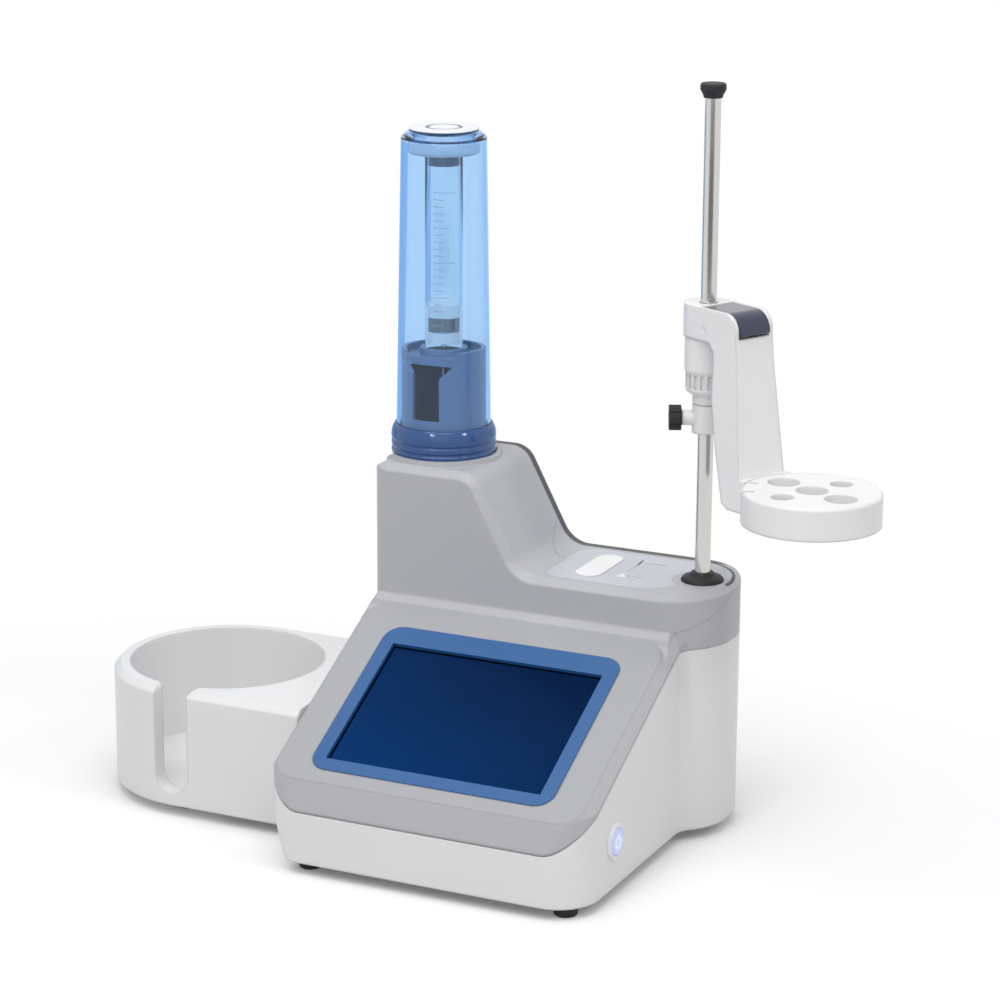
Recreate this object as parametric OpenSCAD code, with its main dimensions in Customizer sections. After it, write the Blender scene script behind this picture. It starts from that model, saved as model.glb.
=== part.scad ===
// Bench titrator with a dosing burette, a touch display, a bottle holder and an electrode arm.
// Millimetres, +Z up, front towards -Y. Positions are worked out from the centre of the
// display; the whole object is then moved so that the origin is under the middle of its box.

/* [Housing] */
// Height of the rubber feet
foot_h = 6.5; // [5:0.5:8]
// Half of the housing's width across the display
base_half = 99.5; // [96:0.5:108]
// Front wall, measured forward from the display centre
front_reach = 61; // [60:0.5:68]
// Radius of the two front corners in plan
front_r = 25; // [16:1:30]
// General wall thickness of the mouldings
wall = 3; // [2.5:0.25:4]
// Height at which the left wall starts to draw in
draft_z = 40; // [34:1:46]
// How far the left wall draws in at the bottom
draft_in = 16.5; // [10:0.5:18]
// Thickness of the bottom plate
plate_t = 3; // [2:0.5:4]
// Height of the level joint between the two housings
seam_z = 116; // [112:1:120]

/* [Rear block] */
// Front wall of the rear block, behind the display centre
block_front = 74; // [72:0.5:78]
// Depth of the rear block from front to back
block_depth = 80; // [76:1:90]
// Right end of the rear block
block_right = 116; // [113:0.5:122]
// Plan radius of the rear block's front right corner
block_fr_r = 36; // [30:1:38]
// Plan radius of the rear block's back right corner
block_br_r = 36; // [28:1:38]
// Plan radius of the rear block's two left corners
block_l_r = 14; // [8:1:16]
// Radius of the hollow where the side wall flares out to the rear block
flare_r = 14; // [8:1:18]
// Height of the deck
deck_z = 148.5; // [142:0.5:156]
// Height of the burette tower
tower_z = 205; // [195:1:215]
// Where the tower's sloping flank would meet the deck
flank_foot = -3; // [-8:1:4]
// Slope of the flank, measured from upright
flank_lean = 28; // [22:1:32]
// Radius between the flank and the deck
flank_fillet = 18; // [12:1:24]
// Radius along the tower's top right edge
tower_right_r = 14; // [10:1:18]
// Radius along the tower's top left edge
tower_left_r = 10; // [8:1:14]
// Width of the bevel round the deck and tower edges
bevel_w = 6; // [5:0.5:8]
// Drop of that bevel
bevel_h = 4; // [3:0.5:6]
// Thickness of the dark rear cover
rear_t = 5.5; // [4:0.5:7]

/* [Display] */
// Height of the display centre above the table
display_z = 85; // [82:0.5:88]
// Tilt of the display from level
tilt = 27.7; // [25:0.1:30]
// Visible width of the display
display_w = 132.5; // [120:0.5:140]
// Visible height of the display
display_h = 93.6; // [85:0.2:96]
// Border of the blue frame at the sides and below
frame_border = 8.4; // [6:0.2:10]
// Border of the blue frame above
frame_top = 14; // [10:0.5:15]
// Corner radius of the blue frame
frame_r = 11; // [6:0.5:14]
// How far the frame stands above the panel
frame_proud = 0.5; // [0.2:0.1:1]
// Depth of the recess that takes the frame
frame_sink = 2; // [1.5:0.1:2.5]
// Height of the raised panel above the display plane
panel_d = 1; // [0.5:0.1:1.5]
// Thickness of the raised panel
panel_t = 4; // [3.5:0.25:5]
// Side margin of the raised panel to the housing wall
panel_margin = 5; // [4:0.5:7]
// Upper edge of the panel, up the slope from the display centre
panel_up = 78; // [76.5:0.5:79]
// Rise of the strip between the panel and the rear block
ledge_h = 5; // [4:0.5:6]
// Front margin of the raised panel to the housing wall, measured down the slope
panel_front = 4; // [2.5:0.5:5]
// Corner radius of the panel
panel_r = 14; // [8:1:20]
// Drop of the band round the panel for each millimetre outwards
band_slope = 1.3; // [1:0.05:1.5]
// Depth of the housing joint under the display plane at the sides
seam_d = 6.5; // [5:0.5:8]
// Height of the joint across the front wall
seam_front_z = 36.5; // [34:0.5:40]

/* [Bottle holder] */
// Radius of the bottle well
cup_r = 58.4; // [50:0.2:60]
// Wall round the bottle well
cup_wall = 9.6; // [7:0.2:11]
// Well centre, left of the housing's left wall
cup_reach = 85.5; // [80:0.5:95]
// Well centre, behind the display centre
cup_back = 53.5; // [50:0.5:58]
// Height of the rim
cup_top = 78.4; // [70:0.2:86]
// Thickness of the well's floor
cup_floor = 7; // [4:0.5:10]
// Width of the slot in the front of the well
slot_w = 22; // [16:1:28]
// Height at which the slot's round bottom ends
slot_bottom = 14; // [13:0.5:20]
// Bevel round the rim
rim_bevel = 4; // [2:0.5:5]

/* [Burette] */
// Burette axis, right of the housing's left wall
burette_in = 29; // [28:0.5:33]
// Outside radius of the cover at its foot
cover_r = 28.3; // [27.5:0.1:29.5]
// Outside radius of the cover at its shoulder
cover_top_r = 25; // [24:0.1:26.5]
// Height of the cover's shoulder above the tower
cover_h = 188.5; // [180:0.5:200]
// Wall of the cover
cover_wall = 2; // [1.5:0.1:2.2]
// Radius of the ribbed collar
collar_r = 31.1; // [30.5:0.1:32]
// Height of the ribbed collar
collar_h = 19; // [15:0.5:22]
// Radius of the cap on the cover
cap_r = 20.5; // [18:0.1:21.5]
// Outside radius of the burette base
sleeve_r = 24.5; // [23.8:0.1:24.8]
// Height of the burette base above the tower
sleeve_h = 65; // [60:0.5:70]
// Wall of the burette base
sleeve_wall = 2.6; // [2:0.2:3]
// Outside radius of the glass barrel
barrel_r = 11; // [10:0.1:12]
// Wall of the glass barrel
barrel_wall = 1.4; // [1:0.1:1.8]
// Length of the glass barrel
barrel_h = 118; // [114:0.5:120]
// Height of the head on the barrel
head_h = 8.5; // [6:0.5:9]
// Radius of the head on the barrel
head_r = 21; // [18:0.1:21.5]
// Length of the plunger's white head
plunger_head_h = 12; // [9:0.5:14]
// Length of the plunger's metal ring
plunger_ring_h = 8.5; // [6:0.5:10]
// Length of the plunger's lower seal
plunger_seal_h = 6.5; // [5:0.5:8]
// Stroke of the plunger
stroke = 76; // [60:1:78]

/* [Dosing drive] */
// Radius of the lead screw
screw_r = 4; // [3:0.5:4.5]
// Lead of the screw for one turn
screw_lead = 4; // [2:0.5:6]
// Radius of the ram
ram_r = 6.4; // [6:0.1:7]
// Radius of the two guide rods
guide_r = 4; // [3:0.5:5]
// Distance of each guide rod from the burette axis
guide_off = 19; // [17:0.5:21]
// Width of the square drive motor
motor_w = 35; // [28:1:38]
// Height of the drive motor
motor_h = 34; // [26:1:36]
// Thickness of the drive's plates
drive_plate_t = 6; // [4:0.5:8]

/* [Support rod] */
// Radius of the support rod
rod_r = 4.5; // [4:0.05:5]
// Rod axis, left of the right end of the rear block
rod_in = 19.5; // [18:0.5:24]
// Height of the rod's top end
rod_top = 432; // [410:1:450]
// Depth of the rod's seat under the deck
rod_seat = 46; // [36:1:56]
// Radius of the rubber grommet on the deck
grommet_r = 12.4; // [11:0.1:14]
// Height of the rubber grommet
grommet_h = 5; // [4:0.5:7]
// Radius of the stop collar
stop_r = 8; // [7.5:0.1:9]
// Height of the stop collar
stop_h = 16.5; // [14:0.5:20]
// Underside of the stop collar above the table
stop_z = 236.5; // [225:0.5:245]
// Radius of the clamp knob
knob_r = 7.3; // [6:0.1:9]

/* [Electrode arm] */
// Direction of the arm round the rod, turned forward from the right
arm_turn = 26; // [0:1:60]
// Half width of the arm at its top
arm_half = 14; // [13:0.5:16]
// Half width of the arm at its foot
arm_foot_half = 18.5; // [16:0.5:21]
// Height of the clamp head
head_top = 311.6; // [306:0.2:318]
// Height of the clamp head's underside
head_under = 293; // [290:0.5:295]
// Front face of the arm at the top, out from the rod
arm_out = 38; // [36:0.5:41]
// Front face of the arm at the disc, out from the rod
arm_foot_out = 46.5; // [44:0.5:50]
// Radius of the electrode disc
disc_r = 39; // [36:0.5:44]
// Centre of the electrode disc, out from the rod
disc_out = 87.6; // [86:0.2:95]
// Height of the electrode disc's top
disc_top = 220.7; // [215:0.5:225]
// Thickness of the electrode disc
disc_h = 18.5; // [15:0.5:22]
// Wall of the electrode disc
disc_wall = 3; // [2.5:0.25:4]
// Radius of the large electrode holes
hole_big = 9; // [7:0.25:9.5]
// Radius of the small holes for tubes and the sensor
hole_small = 6.2; // [4:0.1:7]
// Distance of the outer holes from the middle one
hole_ring = 22.5; // [21:0.25:23.5]
// Travel of the release lever
lever_swing = 3; // [2:0.5:5]

/* [Power button] */
// Button axis, forward of the display centre
button_fwd = 15; // [5:0.5:25]
// Button axis above the table
button_z = 33.5; // [30:0.5:36]
// Radius of the button's ring
bezel_r = 11; // [10:0.25:13]
// Radius of the button
button_r = 7.6; // [6:0.1:8.5]
// Travel of the button
button_travel = 2; // [1:0.25:2.5]

/* [Hidden] */
$fn = 96;

// Clearances
fit = 0.05;
gap = 0.3;
far = 400;

// Housing
block_back = block_front + block_depth;
rear_y = block_back - rear_t;
floor_z = foot_h + plate_t;
left_foot = -base_half + draft_in;
block_c = [block_right - block_fr_r, block_front + block_fr_r];
flare_bite = 0.1;
flare_x = base_half + flare_r;
flare_c = [
    flare_x,
    block_c[1] - sqrt(pow(block_fr_r + flare_r - flare_bite, 2) - pow(flare_x - block_c[0], 2))
];
back_c = [block_right - block_br_r, block_back - block_br_r];
flare_cap_h = 4;

// Joint line on the slope, rising towards the back
function slope_z(y, d) = display_z + (d + y * sin(tilt)) / cos(tilt);
seam_bend = 28;
seam_pull = front_reach - 8;
// A quadratic curve leads the joint from the slope down to the front wall.
function seam_curve(s) =
    pow(1 - s, 2) * [-seam_bend, slope_z(-seam_bend, -seam_d)]
    + 2 * s * (1 - s) * [-seam_pull, slope_z(-seam_pull, -seam_d)]
    + s * s * [-front_reach, seam_front_z];
seam_meet = ((seam_z - display_z) * cos(tilt) + seam_d) / sin(tilt);
seam_line = concat(
    [[-far, seam_front_z]],
    [for (i = [8 : -1 : 0]) seam_curve(i / 8)],
    [[seam_meet, seam_z], [far, seam_z]]
);

// Display
frame_half = display_w / 2 + frame_border;
frame_low = -display_h / 2 - frame_border;
frame_high = display_h / 2 + frame_top;
glass_t = 2;
glass_lip = 2.8;
module_t = 5;
module_lip = 6;
board_t = 1.6;
spacer_h = 4;
panel_half = base_half - panel_margin;
panel_down = front_reach / cos(tilt) - panel_front;
fascia_depth = 60;
fascia_edge = 6;
fascia_hollow = 40;
fascia_hollow_up = 72;
glass_top = panel_d - frame_sink;
band_run = 40;
panel_edge = [
    panel_up * cos(tilt) - panel_d * sin(tilt),
    display_z + panel_up * sin(tilt) + panel_d * cos(tilt)
];

// Burette and drive, stacked along one axis
burette = [-base_half + burette_in, block_front + block_depth / 2 + 1];
sleeve_in = sleeve_r - sleeve_wall;
barrel_z = tower_z + sleeve_h - 4;
barrel_in = barrel_r - barrel_wall;
web_t = 5;
plug_h = 7;
plunger_r = barrel_in - fit;
seal_z = barrel_z + 7;
roof_z = tower_z - wall;
drive_top = roof_z;
ram_top = tower_z + 4;
ram_wall = 1.8;
nut_h = 12;
nut_r = 11;
ram_cap = 4;
ram_len = stroke + nut_h + ram_cap + 12;
nut_z = ram_top - ram_len;
screw_top = nut_z + nut_h + stroke + 4;
coupling_h = 18;
coupling_r = 9;
motor_top = nut_z - coupling_h - drive_plate_t - 7;
cover_foot = tower_z + 3;
shoulder_z = tower_z + cover_h;
shoulder_h = 3.5;
lip_w = 3;
lip_h = 2.2;

// Support rod and arm
rod = [block_right - rod_in, block_front + block_depth / 2 - 0.5];
rod_foot = deck_z - rod_seat;
socket_r = rod_r + 5;
stop_top = stop_z + stop_h;
screw_dir = 205;
boss_r = 4.4;
boss_out = stop_r + 5.8;
knob_t = 7;
shank_r = 2.5;
bush_low = stop_top + gap;
bush_neck = 8;
bush_body = arm_half - 1;
bush_in = bush_body - 4.5;
lever_pivot = [12, head_top - 12];
lever_half = arm_half - 3;
lever_t = 3.2;
lever_front = arm_out + 1.5;
lever_tip = head_top - 12;
lever_drop = (lever_front - lever_pivot[0]) * sin(lever_swing) + 0.4;
lever_r = 10;
lever_boss = 3.4;
lever_back = lever_pivot[0] - lever_boss;
lever_skin = lever_r + 1.5 - lever_t;
disc_screw_y = [-8, 8];
pin_r = 1.5;
disc_low = disc_top - disc_h;
disc_bevel = 1.2;
recess_out = 20;
recess_low = head_under - 32;

// Bottle holder
cup = [-base_half - cup_reach, cup_back];
cup_out = cup_r + cup_wall;
holder_right = -base_half - gap / 2;
well_floor = foot_h + cup_floor;

// Origin under the middle of the whole box
box_left = cup[0] - cup_out;
box_right = rod[0] + disc_out * cos(arm_turn) + disc_r;
origin = [(box_left + box_right) / 2, (block_back - front_reach) / 2, 0];

// Colours
white = [0.90, 0.90, 0.91];
grey = [0.70, 0.71, 0.73];
dark = [0.22, 0.22, 0.24];
black = [0.05, 0.05, 0.06];
steel = [0.75, 0.74, 0.72];
blue = [0.24, 0.43, 0.68];
clear_blue = [0.55, 0.76, 0.97, 0.5];
slate = [0.29, 0.44, 0.61];
navy = [0.15, 0.15, 0.32];
green = [0.10, 0.35, 0.20];

// Shared shapes

module placed() translate(-origin) children();

module on_slope() translate([0, 0, display_z]) rotate([tilt, 0, 0]) children();

module at(p, z = 0) translate([p[0], p[1], z]) children();

module on_arm() at(rod) rotate(-arm_turn) children();

// Stands an outline of (x, z) up and runs it back from y0 to y1.
module upright(y0, y1) translate([0, y1, 0]) rotate([90, 0, 0]) linear_extrude(y1 - y0) children();

// Stands an outline of (y, z) up and runs it across from x0 to x1.
module across(x0, x1) translate([x0, 0, 0]) rotate([90, 0, 90]) linear_extrude(x1 - x0) children();

module tube(r, bore, h) difference() {
    cylinder(r = r, h = h);
    translate([0, 0, -1]) cylinder(r = bore, h = h + 2);
}

// A plate with its own radius at each corner: front left, front right, back right, back left.
module plate_outline(x0, x1, y0, y1, r) {
    polygon([
        [x0 + r[0], y0], [x1 - r[1], y0], [x1, y0 + r[1]], [x1, y1 - r[2]],
        [x1 - r[2], y1], [x0 + r[3], y1], [x0, y1 - r[3]], [x0, y0 + r[0]]
    ]);
    translate([x0 + r[0], y0 + r[0]]) circle(r[0]);
    translate([x1 - r[1], y0 + r[1]]) circle(r[1]);
    translate([x1 - r[2], y1 - r[2]]) circle(r[2]);
    translate([x0 + r[3], y1 - r[3]]) circle(r[3]);
}

module block_plan(d = 0) plate_outline(
    -base_half + d, block_right - d, block_front + d, block_back - d,
    [block_l_r - d, block_fr_r - d, block_br_r - d, block_l_r - d]
);

module flare_fill(d = 0) {
    away = (flare_c - block_c) / norm(flare_c - block_c);
    difference() {
        polygon([
            [base_half - d - 10, flare_c[1]], flare_c,
            block_c + (block_fr_r - d) * away, block_c
        ]);
        translate(flare_c) circle(flare_r + d);
    }
}

module base_plan(d = 0) {
    plate_outline(
        -base_half + d, base_half - d, -front_reach + d, block_back - block_br_r,
        [front_r - d, front_r - d, 1, 1]
    );
    block_plan(d);
    flare_fill(d);
}

// Front part alone, up to just behind the rear block's front wall
module fascia_plan() plate_outline(
    -base_half, base_half, -front_reach, block_front + 5, [front_r, front_r, 1, 1]
);

// What lies right of the left wall, which draws in below draft_z.
module draft_side(d = 0) upright(-far, far) polygon([
    [left_foot + d, foot_h], [left_foot + d, foot_h - 2], [far, foot_h - 2], [far, far],
    [-base_half + d, far], [-base_half + d, draft_z]
]);

module below_seam() across(-far, far) polygon(concat(seam_line, [[far, -far], [-far, -far]]));

module above_seam() across(-far, far) polygon(concat(seam_line, [[far, far], [-far, far]]));

module in_front_of_rear() translate([-far, -far, -far]) cube([2 * far, far + rear_y, 2 * far]);

// Rear block seen from the front, drawn in by d: arcs keep their centres, so it stays parallel.
flank_n = [cos(flank_lean), sin(flank_lean)];
left_top_c = [-base_half + tower_left_r, tower_z - tower_left_r];
right_top_c = [
    flank_foot + (-tower_right_r - flank_n[1] * (tower_z - tower_right_r - deck_z)) / flank_n[0],
    tower_z - tower_right_r
];
fillet_c = [flank_foot + flank_fillet * (1 - flank_n[1]) / flank_n[0], deck_z + flank_fillet];
flank_top = right_top_c + tower_right_r * flank_n;
flank_low = fillet_c - flank_fillet * flank_n;
module block_form(y0, y1, d = 0) {
    x_end = block_right + 5;
    union() {
        upright(y0, y1) difference() {
            polygon([
                [-base_half + d, 0], [-base_half + d, left_top_c[1]], [left_top_c[0], tower_z - d],
                [right_top_c[0], tower_z - d], flank_top - d * flank_n, flank_low - d * flank_n,
                [fillet_c[0], deck_z - d], [x_end, deck_z - d], [x_end, 0]
            ]);
            translate(fillet_c) circle(flank_fillet + d);
        }
        upright(y0, y1) translate(left_top_c) circle(tower_left_r - d);
        upright(y0, y1) translate(right_top_c) circle(tower_right_r - d);
    }
}

// What the bevel takes off along the block's front edge: over the tower, down the flank and round its foot
module front_bevel_cut() translate([0, block_front, 0]) rotate([90, 0, 0]) {
    turn = 90 - flank_lean;
    up = [-flank_n[1], flank_n[0]];
    translate(left_top_c) front_corner(tower_left_r, 90, 90);
    translate([left_top_c[0] - lap, tower_z]) front_wedge(90, right_top_c[0] - left_top_c[0] + 2 * lap);
    translate(right_top_c) front_corner(tower_right_r, flank_lean, turn);
    translate(flank_top + lap * up) front_wedge(flank_lean, norm(flank_low - flank_top) + lap);
    translate(fillet_c) front_hollow(flank_fillet + lap_r, 180 + flank_lean - lap_turn, turn + 2 * lap_turn);
}

// Section of that cut: how far out from the edge, and how far in front of the block
bevel_front = bevel_h * (1 + 2 / bevel_w);
lap = 1;
lap_r = 0.05;
lap_turn = 6;
module front_profile() polygon([
    [-bevel_front, 2], [bevel_h, -2 * bevel_w], [far, -2 * bevel_w], [far, 2]
]);

// Along a straight edge that faces the given way
module front_wedge(facing, run) rotate(facing) rotate([90, 0, 0]) linear_extrude(run) front_profile();

// Round an outside corner of radius r
module front_corner(r, from, turn) rotate(from) rotate_extrude(angle = turn)
    translate([r, 0]) front_profile();

// Round an inside corner of radius r
module front_hollow(r, from, turn) rotate(from) rotate_extrude(angle = turn) polygon([
    [0, 2], [r + bevel_front, 2], [r - bevel_h, -2 * bevel_w], [0, -2 * bevel_w]
]);

// Section of a bevel cut: its point lies on the edge's outside, w in and h down
module bevel_profile(w, h) polygon([[-w, 0], [-w, 2], [2, 2], [2, -h * (1 + 2 / w)]]);

module bevel_arc(c, r, from, sweep, w, h) translate(c) rotate(from)
    rotate_extrude(angle = sweep) translate([r, 0]) bevel_profile(w, h);

// Runs along a straight edge; at turn 0 the edge faces +X and runs from p towards -Y.
module bevel_edge(p, turn, run, w, h) translate(p) rotate(turn) rotate([90, 0, 0])
    linear_extrude(run) bevel_profile(w, h);

// What the bevel takes off along the deck's front and round its right end, running out before the rear cover
module deck_bevel_cut() translate([0, 0, deck_z]) {
    fade_c = back_c + [0, bevel_w + 3];
    bevel_edge([block_c[0], block_front], -90, block_c[0] - fillet_c[0], bevel_w, bevel_h);
    bevel_arc(block_c, block_fr_r, -90, 90, bevel_w, bevel_h);
    bevel_arc(fade_c, block_br_r, 0, 90, bevel_w, bevel_h);
    bevel_edge([block_right, fade_c[1]], 0, fade_c[1] - block_c[1], bevel_w, bevel_h);
}

// Raised panel with a sloping band all round that runs out into the housing's walls
module fascia_plate() on_slope() difference() {
    side = panel_half + band_run;
    low = -panel_down - band_run;
    high = panel_up + band_run;
    r = panel_r + band_run;
    drop = band_run * band_slope;
    translate([0, 0, -fascia_depth]) linear_extrude(fascia_depth + panel_d)
        plate_outline(-side, side, low, high, [r, r, r, r]);
    translate([0, 0, panel_d]) {
        for (x = [-1, 1]) {
            bevel_arc([x * (side - r), low + r], r, x > 0 ? -90 : 180, 90, band_run, drop);
            bevel_arc([x * (side - r), high - r], r, x > 0 ? 0 : 90, 90, band_run, drop);
        }
        bevel_edge([side, high - r], 0, high - low - 2 * r, band_run, drop);
        bevel_edge([-side, low + r], 180, high - low - 2 * r, band_run, drop);
        bevel_edge([-side + r, high], 90, 2 * (side - r), band_run, drop);
        bevel_edge([side - r, low], -90, 2 * (side - r), band_run, drop);
    }
}

// Screw with a domed head, point down, its head's underside at the origin
module screw(r, len) {
    translate([0, 0, -len]) cylinder(r = r, h = len);
    cylinder(r1 = 2 * r, r2 = 1.3 * r, h = 0.9 * r);
}

// Bosses of the lower housing that take the bottom screws
plate_bosses = [
    [left_foot + 15, -front_reach + 34], [base_half - 11, -front_reach + 34],
    [base_half - 11, block_front - 4], [left_foot + 15, block_front - 4]
];
feet_at = [
    [left_foot + 9, -front_reach + 14], [base_half - 15, -front_reach + 14],
    [block_right - 24, rear_y - 22], [left_foot + 17, rear_y - 22]
];
foot_r = 7.5;
boss_h = 14;
boss_t = 4;
plate_screw_r = 1.5;
screw_sink = 1.5;

// Housing

module lower_solid() intersection() {
    translate([0, 0, foot_h]) linear_extrude(seam_z - foot_h) base_plan();
    below_seam();
    in_front_of_rear();
    draft_side();
}

module lower_cavity() intersection() {
    translate([0, 0, foot_h - 1]) linear_extrude(seam_z) base_plan(wall);
    draft_side(wall);
}

module lower_housing() color(white) difference() {
    union() {
        difference() {
            lower_solid();
            lower_cavity();
        }
        for (p = plate_bosses) at(p, floor_z) cylinder(r = boss_t, h = boss_h);
        for (p = plate_bosses) boss_web(p);
        for (p = lower_fix) rear_boss(p);
    }
    for (p = plate_bosses) at(p, floor_z - 1) cylinder(r = plate_screw_r + fit, h = boss_h - 2);
    for (p = lower_fix) rear_bore(p);
    translate([base_half - wall - 1, -button_fwd, button_z]) rotate([0, 90, 0])
        cylinder(r = bezel_r - bezel_lip + 0.1, h = wall + 2);
    for (p = holder_holes) translate([-base_half - 1, p[0], p[1]]) rotate([0, 90, 0])
        cylinder(r = holder_screw_r + 0.2, h = wall + 2);
}

// Rib from a boss to the nearest side wall
module boss_web(p) {
    out = p[0] > 0 ? base_half - wall / 2 : left_foot + wall / 2;
    translate([min(p[0], out), p[1] - 1, floor_z]) cube([abs(out - p[0]), 2, boss_h]);
}

module bottom_plate() color(dark) difference() {
    intersection() {
        translate([0, 0, foot_h]) linear_extrude(plate_t) base_plan(wall + gap);
        draft_side(wall + gap);
        in_front_of_rear();
    }
    for (p = plate_bosses) at(p, foot_h - 1) cylinder(r = plate_screw_r + 0.2, h = plate_t + 2);
    for (p = plate_bosses) at(p, foot_h - 1) cylinder(r = 2 * plate_screw_r + 0.3, h = 1 + screw_sink);
}

module foot() cylinder(r1 = foot_r - 1, r2 = foot_r, h = foot_h);

module feet() color(black) {
    for (p = feet_at) at(p) foot();
    for (a = [150, 270]) at(cup) rotate(a) translate([cup_r - 10, 0, 0]) foot();
}

module bottom_screws() color(steel) for (p = plate_bosses)
    at(p, foot_h + screw_sink) rotate([180, 0, 0]) screw(plate_screw_r, boss_h - 4);

module upper_housing() color(grey) difference() {
    union() {
        intersection() {
            translate([0, 0, foot_h]) linear_extrude(tower_z) fascia_plan();
            above_seam();
            union() {
                fascia_plate();
                wall_foot();
            }
        }
        difference() {
            intersection() {
                translate([0, 0, seam_z]) linear_extrude(tower_z) block_plan();
                block_form(0, rear_y);
            }
            front_bevel_cut();
            deck_bevel_cut();
        }
        translate([0, 0, seam_z]) linear_extrude(flare_cap_h) flare_fill();
        collar_lip();
        for (p = upper_fix) rear_boss(p);
    }
    on_slope() translate([-panel_half + wall, -panel_down + fascia_edge, panel_d - panel_t - fascia_hollow])
        cube([2 * (panel_half - wall), panel_down + fascia_hollow_up - fascia_edge, fascia_hollow]);
    intersection() {
        translate([0, 0, seam_z - 1]) linear_extrude(tower_z) block_plan(wall);
        block_form(block_front + bevel_w - 1, rear_y + 1, wall);
    }
    display_cut();
    at(burette, roof_z - 1) cylinder(r = sleeve_r + gap, h = wall + 2);
    at(rod, deck_z - wall - 1) cylinder(r = rod_r + 0.5, h = wall + 2);
    translate([0, 0, deck_z - overlay_t]) linear_extrude(1) overlay_outline(0.1);
    for (p = upper_fix) rear_bore(p);
    deck_trim(fit);
}

// Sloping strip from the panel's top edge up to the block's front wall
module wall_foot() {
    rise = [block_front - panel_edge[0], ledge_h];
    top = panel_edge + rise;
    across(-base_half, base_half) polygon([
        panel_edge - 2 * rise, top, [top[0] + wall, top[1]], [top[0] + wall, panel_edge[1] - 2 * ledge_h]
    ]);
}

// Raised ring that the cover's collar drops into, rounded off with the tower's own edges
module collar_lip() intersection() {
    at(burette, tower_z - tower_left_r / 2)
        tube(collar_r + gap + lip_w, collar_r + gap, tower_left_r / 2 + lip_h);
    translate([0, 0, lip_h]) block_form(block_front, rear_y);
}

// Boss in front of the rear cover that takes a screw, with a rib to the nearest wall
module rear_boss(p) {
    out = p[0] > 0 ? back_c[0] + block_br_r * 0.45 : -base_half + wall + 1.5;
    translate([p[0], rear_y - rear_boss_h, p[1]]) rotate([-90, 0, 0]) cylinder(r = boss_t, h = rear_boss_h);
    translate([min(p[0], out), rear_y - rear_boss_h, p[1] - 1]) cube([abs(out - p[0]), rear_boss_h, 2]);
}

module rear_bore(p) translate([p[0], rear_y - rear_boss_h + 1, p[1]]) rotate([-90, 0, 0])
    cylinder(r = plate_screw_r + fit, h = rear_boss_h);

// Dark strip let into the deck's bevel, which leads the rear cover's edge round the right end
module deck_trim(d = 0) at(back_c, deck_z - trim_t - d) rotate(-10) rotate_extrude(angle = 95)
    translate([trim_r - d, 0]) square([trim_w + 2 * d, trim_t + 2 * d]);

module display_cut() on_slope() {
    translate([0, 0, glass_top]) linear_extrude(10)
        plate_outline(-frame_half - 0.1, frame_half + 0.1, frame_low - 0.1, frame_high + 0.1,
            [frame_r, frame_r, frame_r, frame_r]);
    translate([-display_w / 2 - glass_lip - 0.1, -display_h / 2 - glass_lip - 0.1, -20])
        cube([display_w + 2 * glass_lip + 0.2, display_h + 2 * glass_lip + 0.2, 30]);
}

socket_z = 58;
trim_r = rear_y - back_c[1] + 0.5;
trim_w = 1.5;
trim_t = 2.2;
module rear_cover() color(dark) difference() {
    union() {
        intersection() {
            translate([0, 0, foot_h]) linear_extrude(tower_z) base_plan();
            block_form(rear_y, block_back + 1);
            draft_side();
        }
        deck_trim();
    }
    deck_bevel_cut();
    for (x = electrode_x) translate([x, rear_y - 1, socket_z]) rotate([-90, 0, 0])
        cylinder(r = 6.2, h = rear_t + 2);
    for (x = data_x) translate([x - 7, rear_y - 1, socket_z - 3.6]) cube([14, rear_t + 2, 7.2]);
    translate([inlet_x, rear_y - 1, socket_z]) rotate([-90, 0, 0]) cylinder(r = 5.2, h = rear_t + 2);
    for (p = concat(lower_fix, upper_fix)) translate([p[0], rear_y - 1, p[1]]) rotate([-90, 0, 0]) {
        cylinder(r = plate_screw_r + 0.2, h = rear_t + 2);
        translate([0, 0, rear_t - 0.5]) cylinder(r = 2 * plate_screw_r + 0.3, h = 3);
    }
    for (z = [0 : 5]) translate([-46, rear_y - 1, 84 + 5 * z]) cube([60, rear_t + 2, 2.2]);
}

electrode_x = [50, 76];
data_x = [-10, 14];
inlet_x = -44;
rear_boss_h = 12;
fix_x = [-base_half + block_l_r + 4, back_c[0] - 4];
lower_fix = [[fix_x[0], draft_z + 8], [fix_x[1], draft_z - 8]];
upper_fix = [[fix_x[0], seam_z + 55], [fix_x[1], deck_z - wall - 3.5]];

module rear_screws() color(steel) for (p = concat(lower_fix, upper_fix))
    translate([p[0], block_back - screw_sink, p[1]]) rotate([-90, 0, 0])
        screw(plate_screw_r, rear_t + rear_boss_h - 5);

module electrode_sockets() color(steel) for (x = electrode_x)
    translate([x, rear_y - 12, socket_z]) rotate([-90, 0, 0]) difference() {
        union() {
            cylinder(r = 8, h = 12);
            cylinder(r = 6, h = 12 + rear_t - 0.5);
        }
        translate([0, 0, 8]) tube(4.6, 1.2, far);
    }

module data_sockets() color(steel) for (x = data_x)
    translate([x - 6.8, rear_y - 12, socket_z - 3.4]) difference() {
        cube([13.6, 12 + rear_t - 0.5, 6.8]);
        translate([0.8, 3, 0.8]) cube([12, far, 1.6]);
        translate([0.8, 3, 4.2]) cube([12, far, 1.8]);
    }

module power_inlet() color(black) translate([inlet_x, rear_y - 12, socket_z]) rotate([-90, 0, 0])
    difference() {
        union() {
            translate([-7, -7, 0]) cube([14, 14, 12]);
            cylinder(r = 5, h = 12 + rear_t - 0.5);
        }
        translate([0, 0, 4]) tube(3.2, 1, far);
    }

// Display, from the frame inwards

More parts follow.
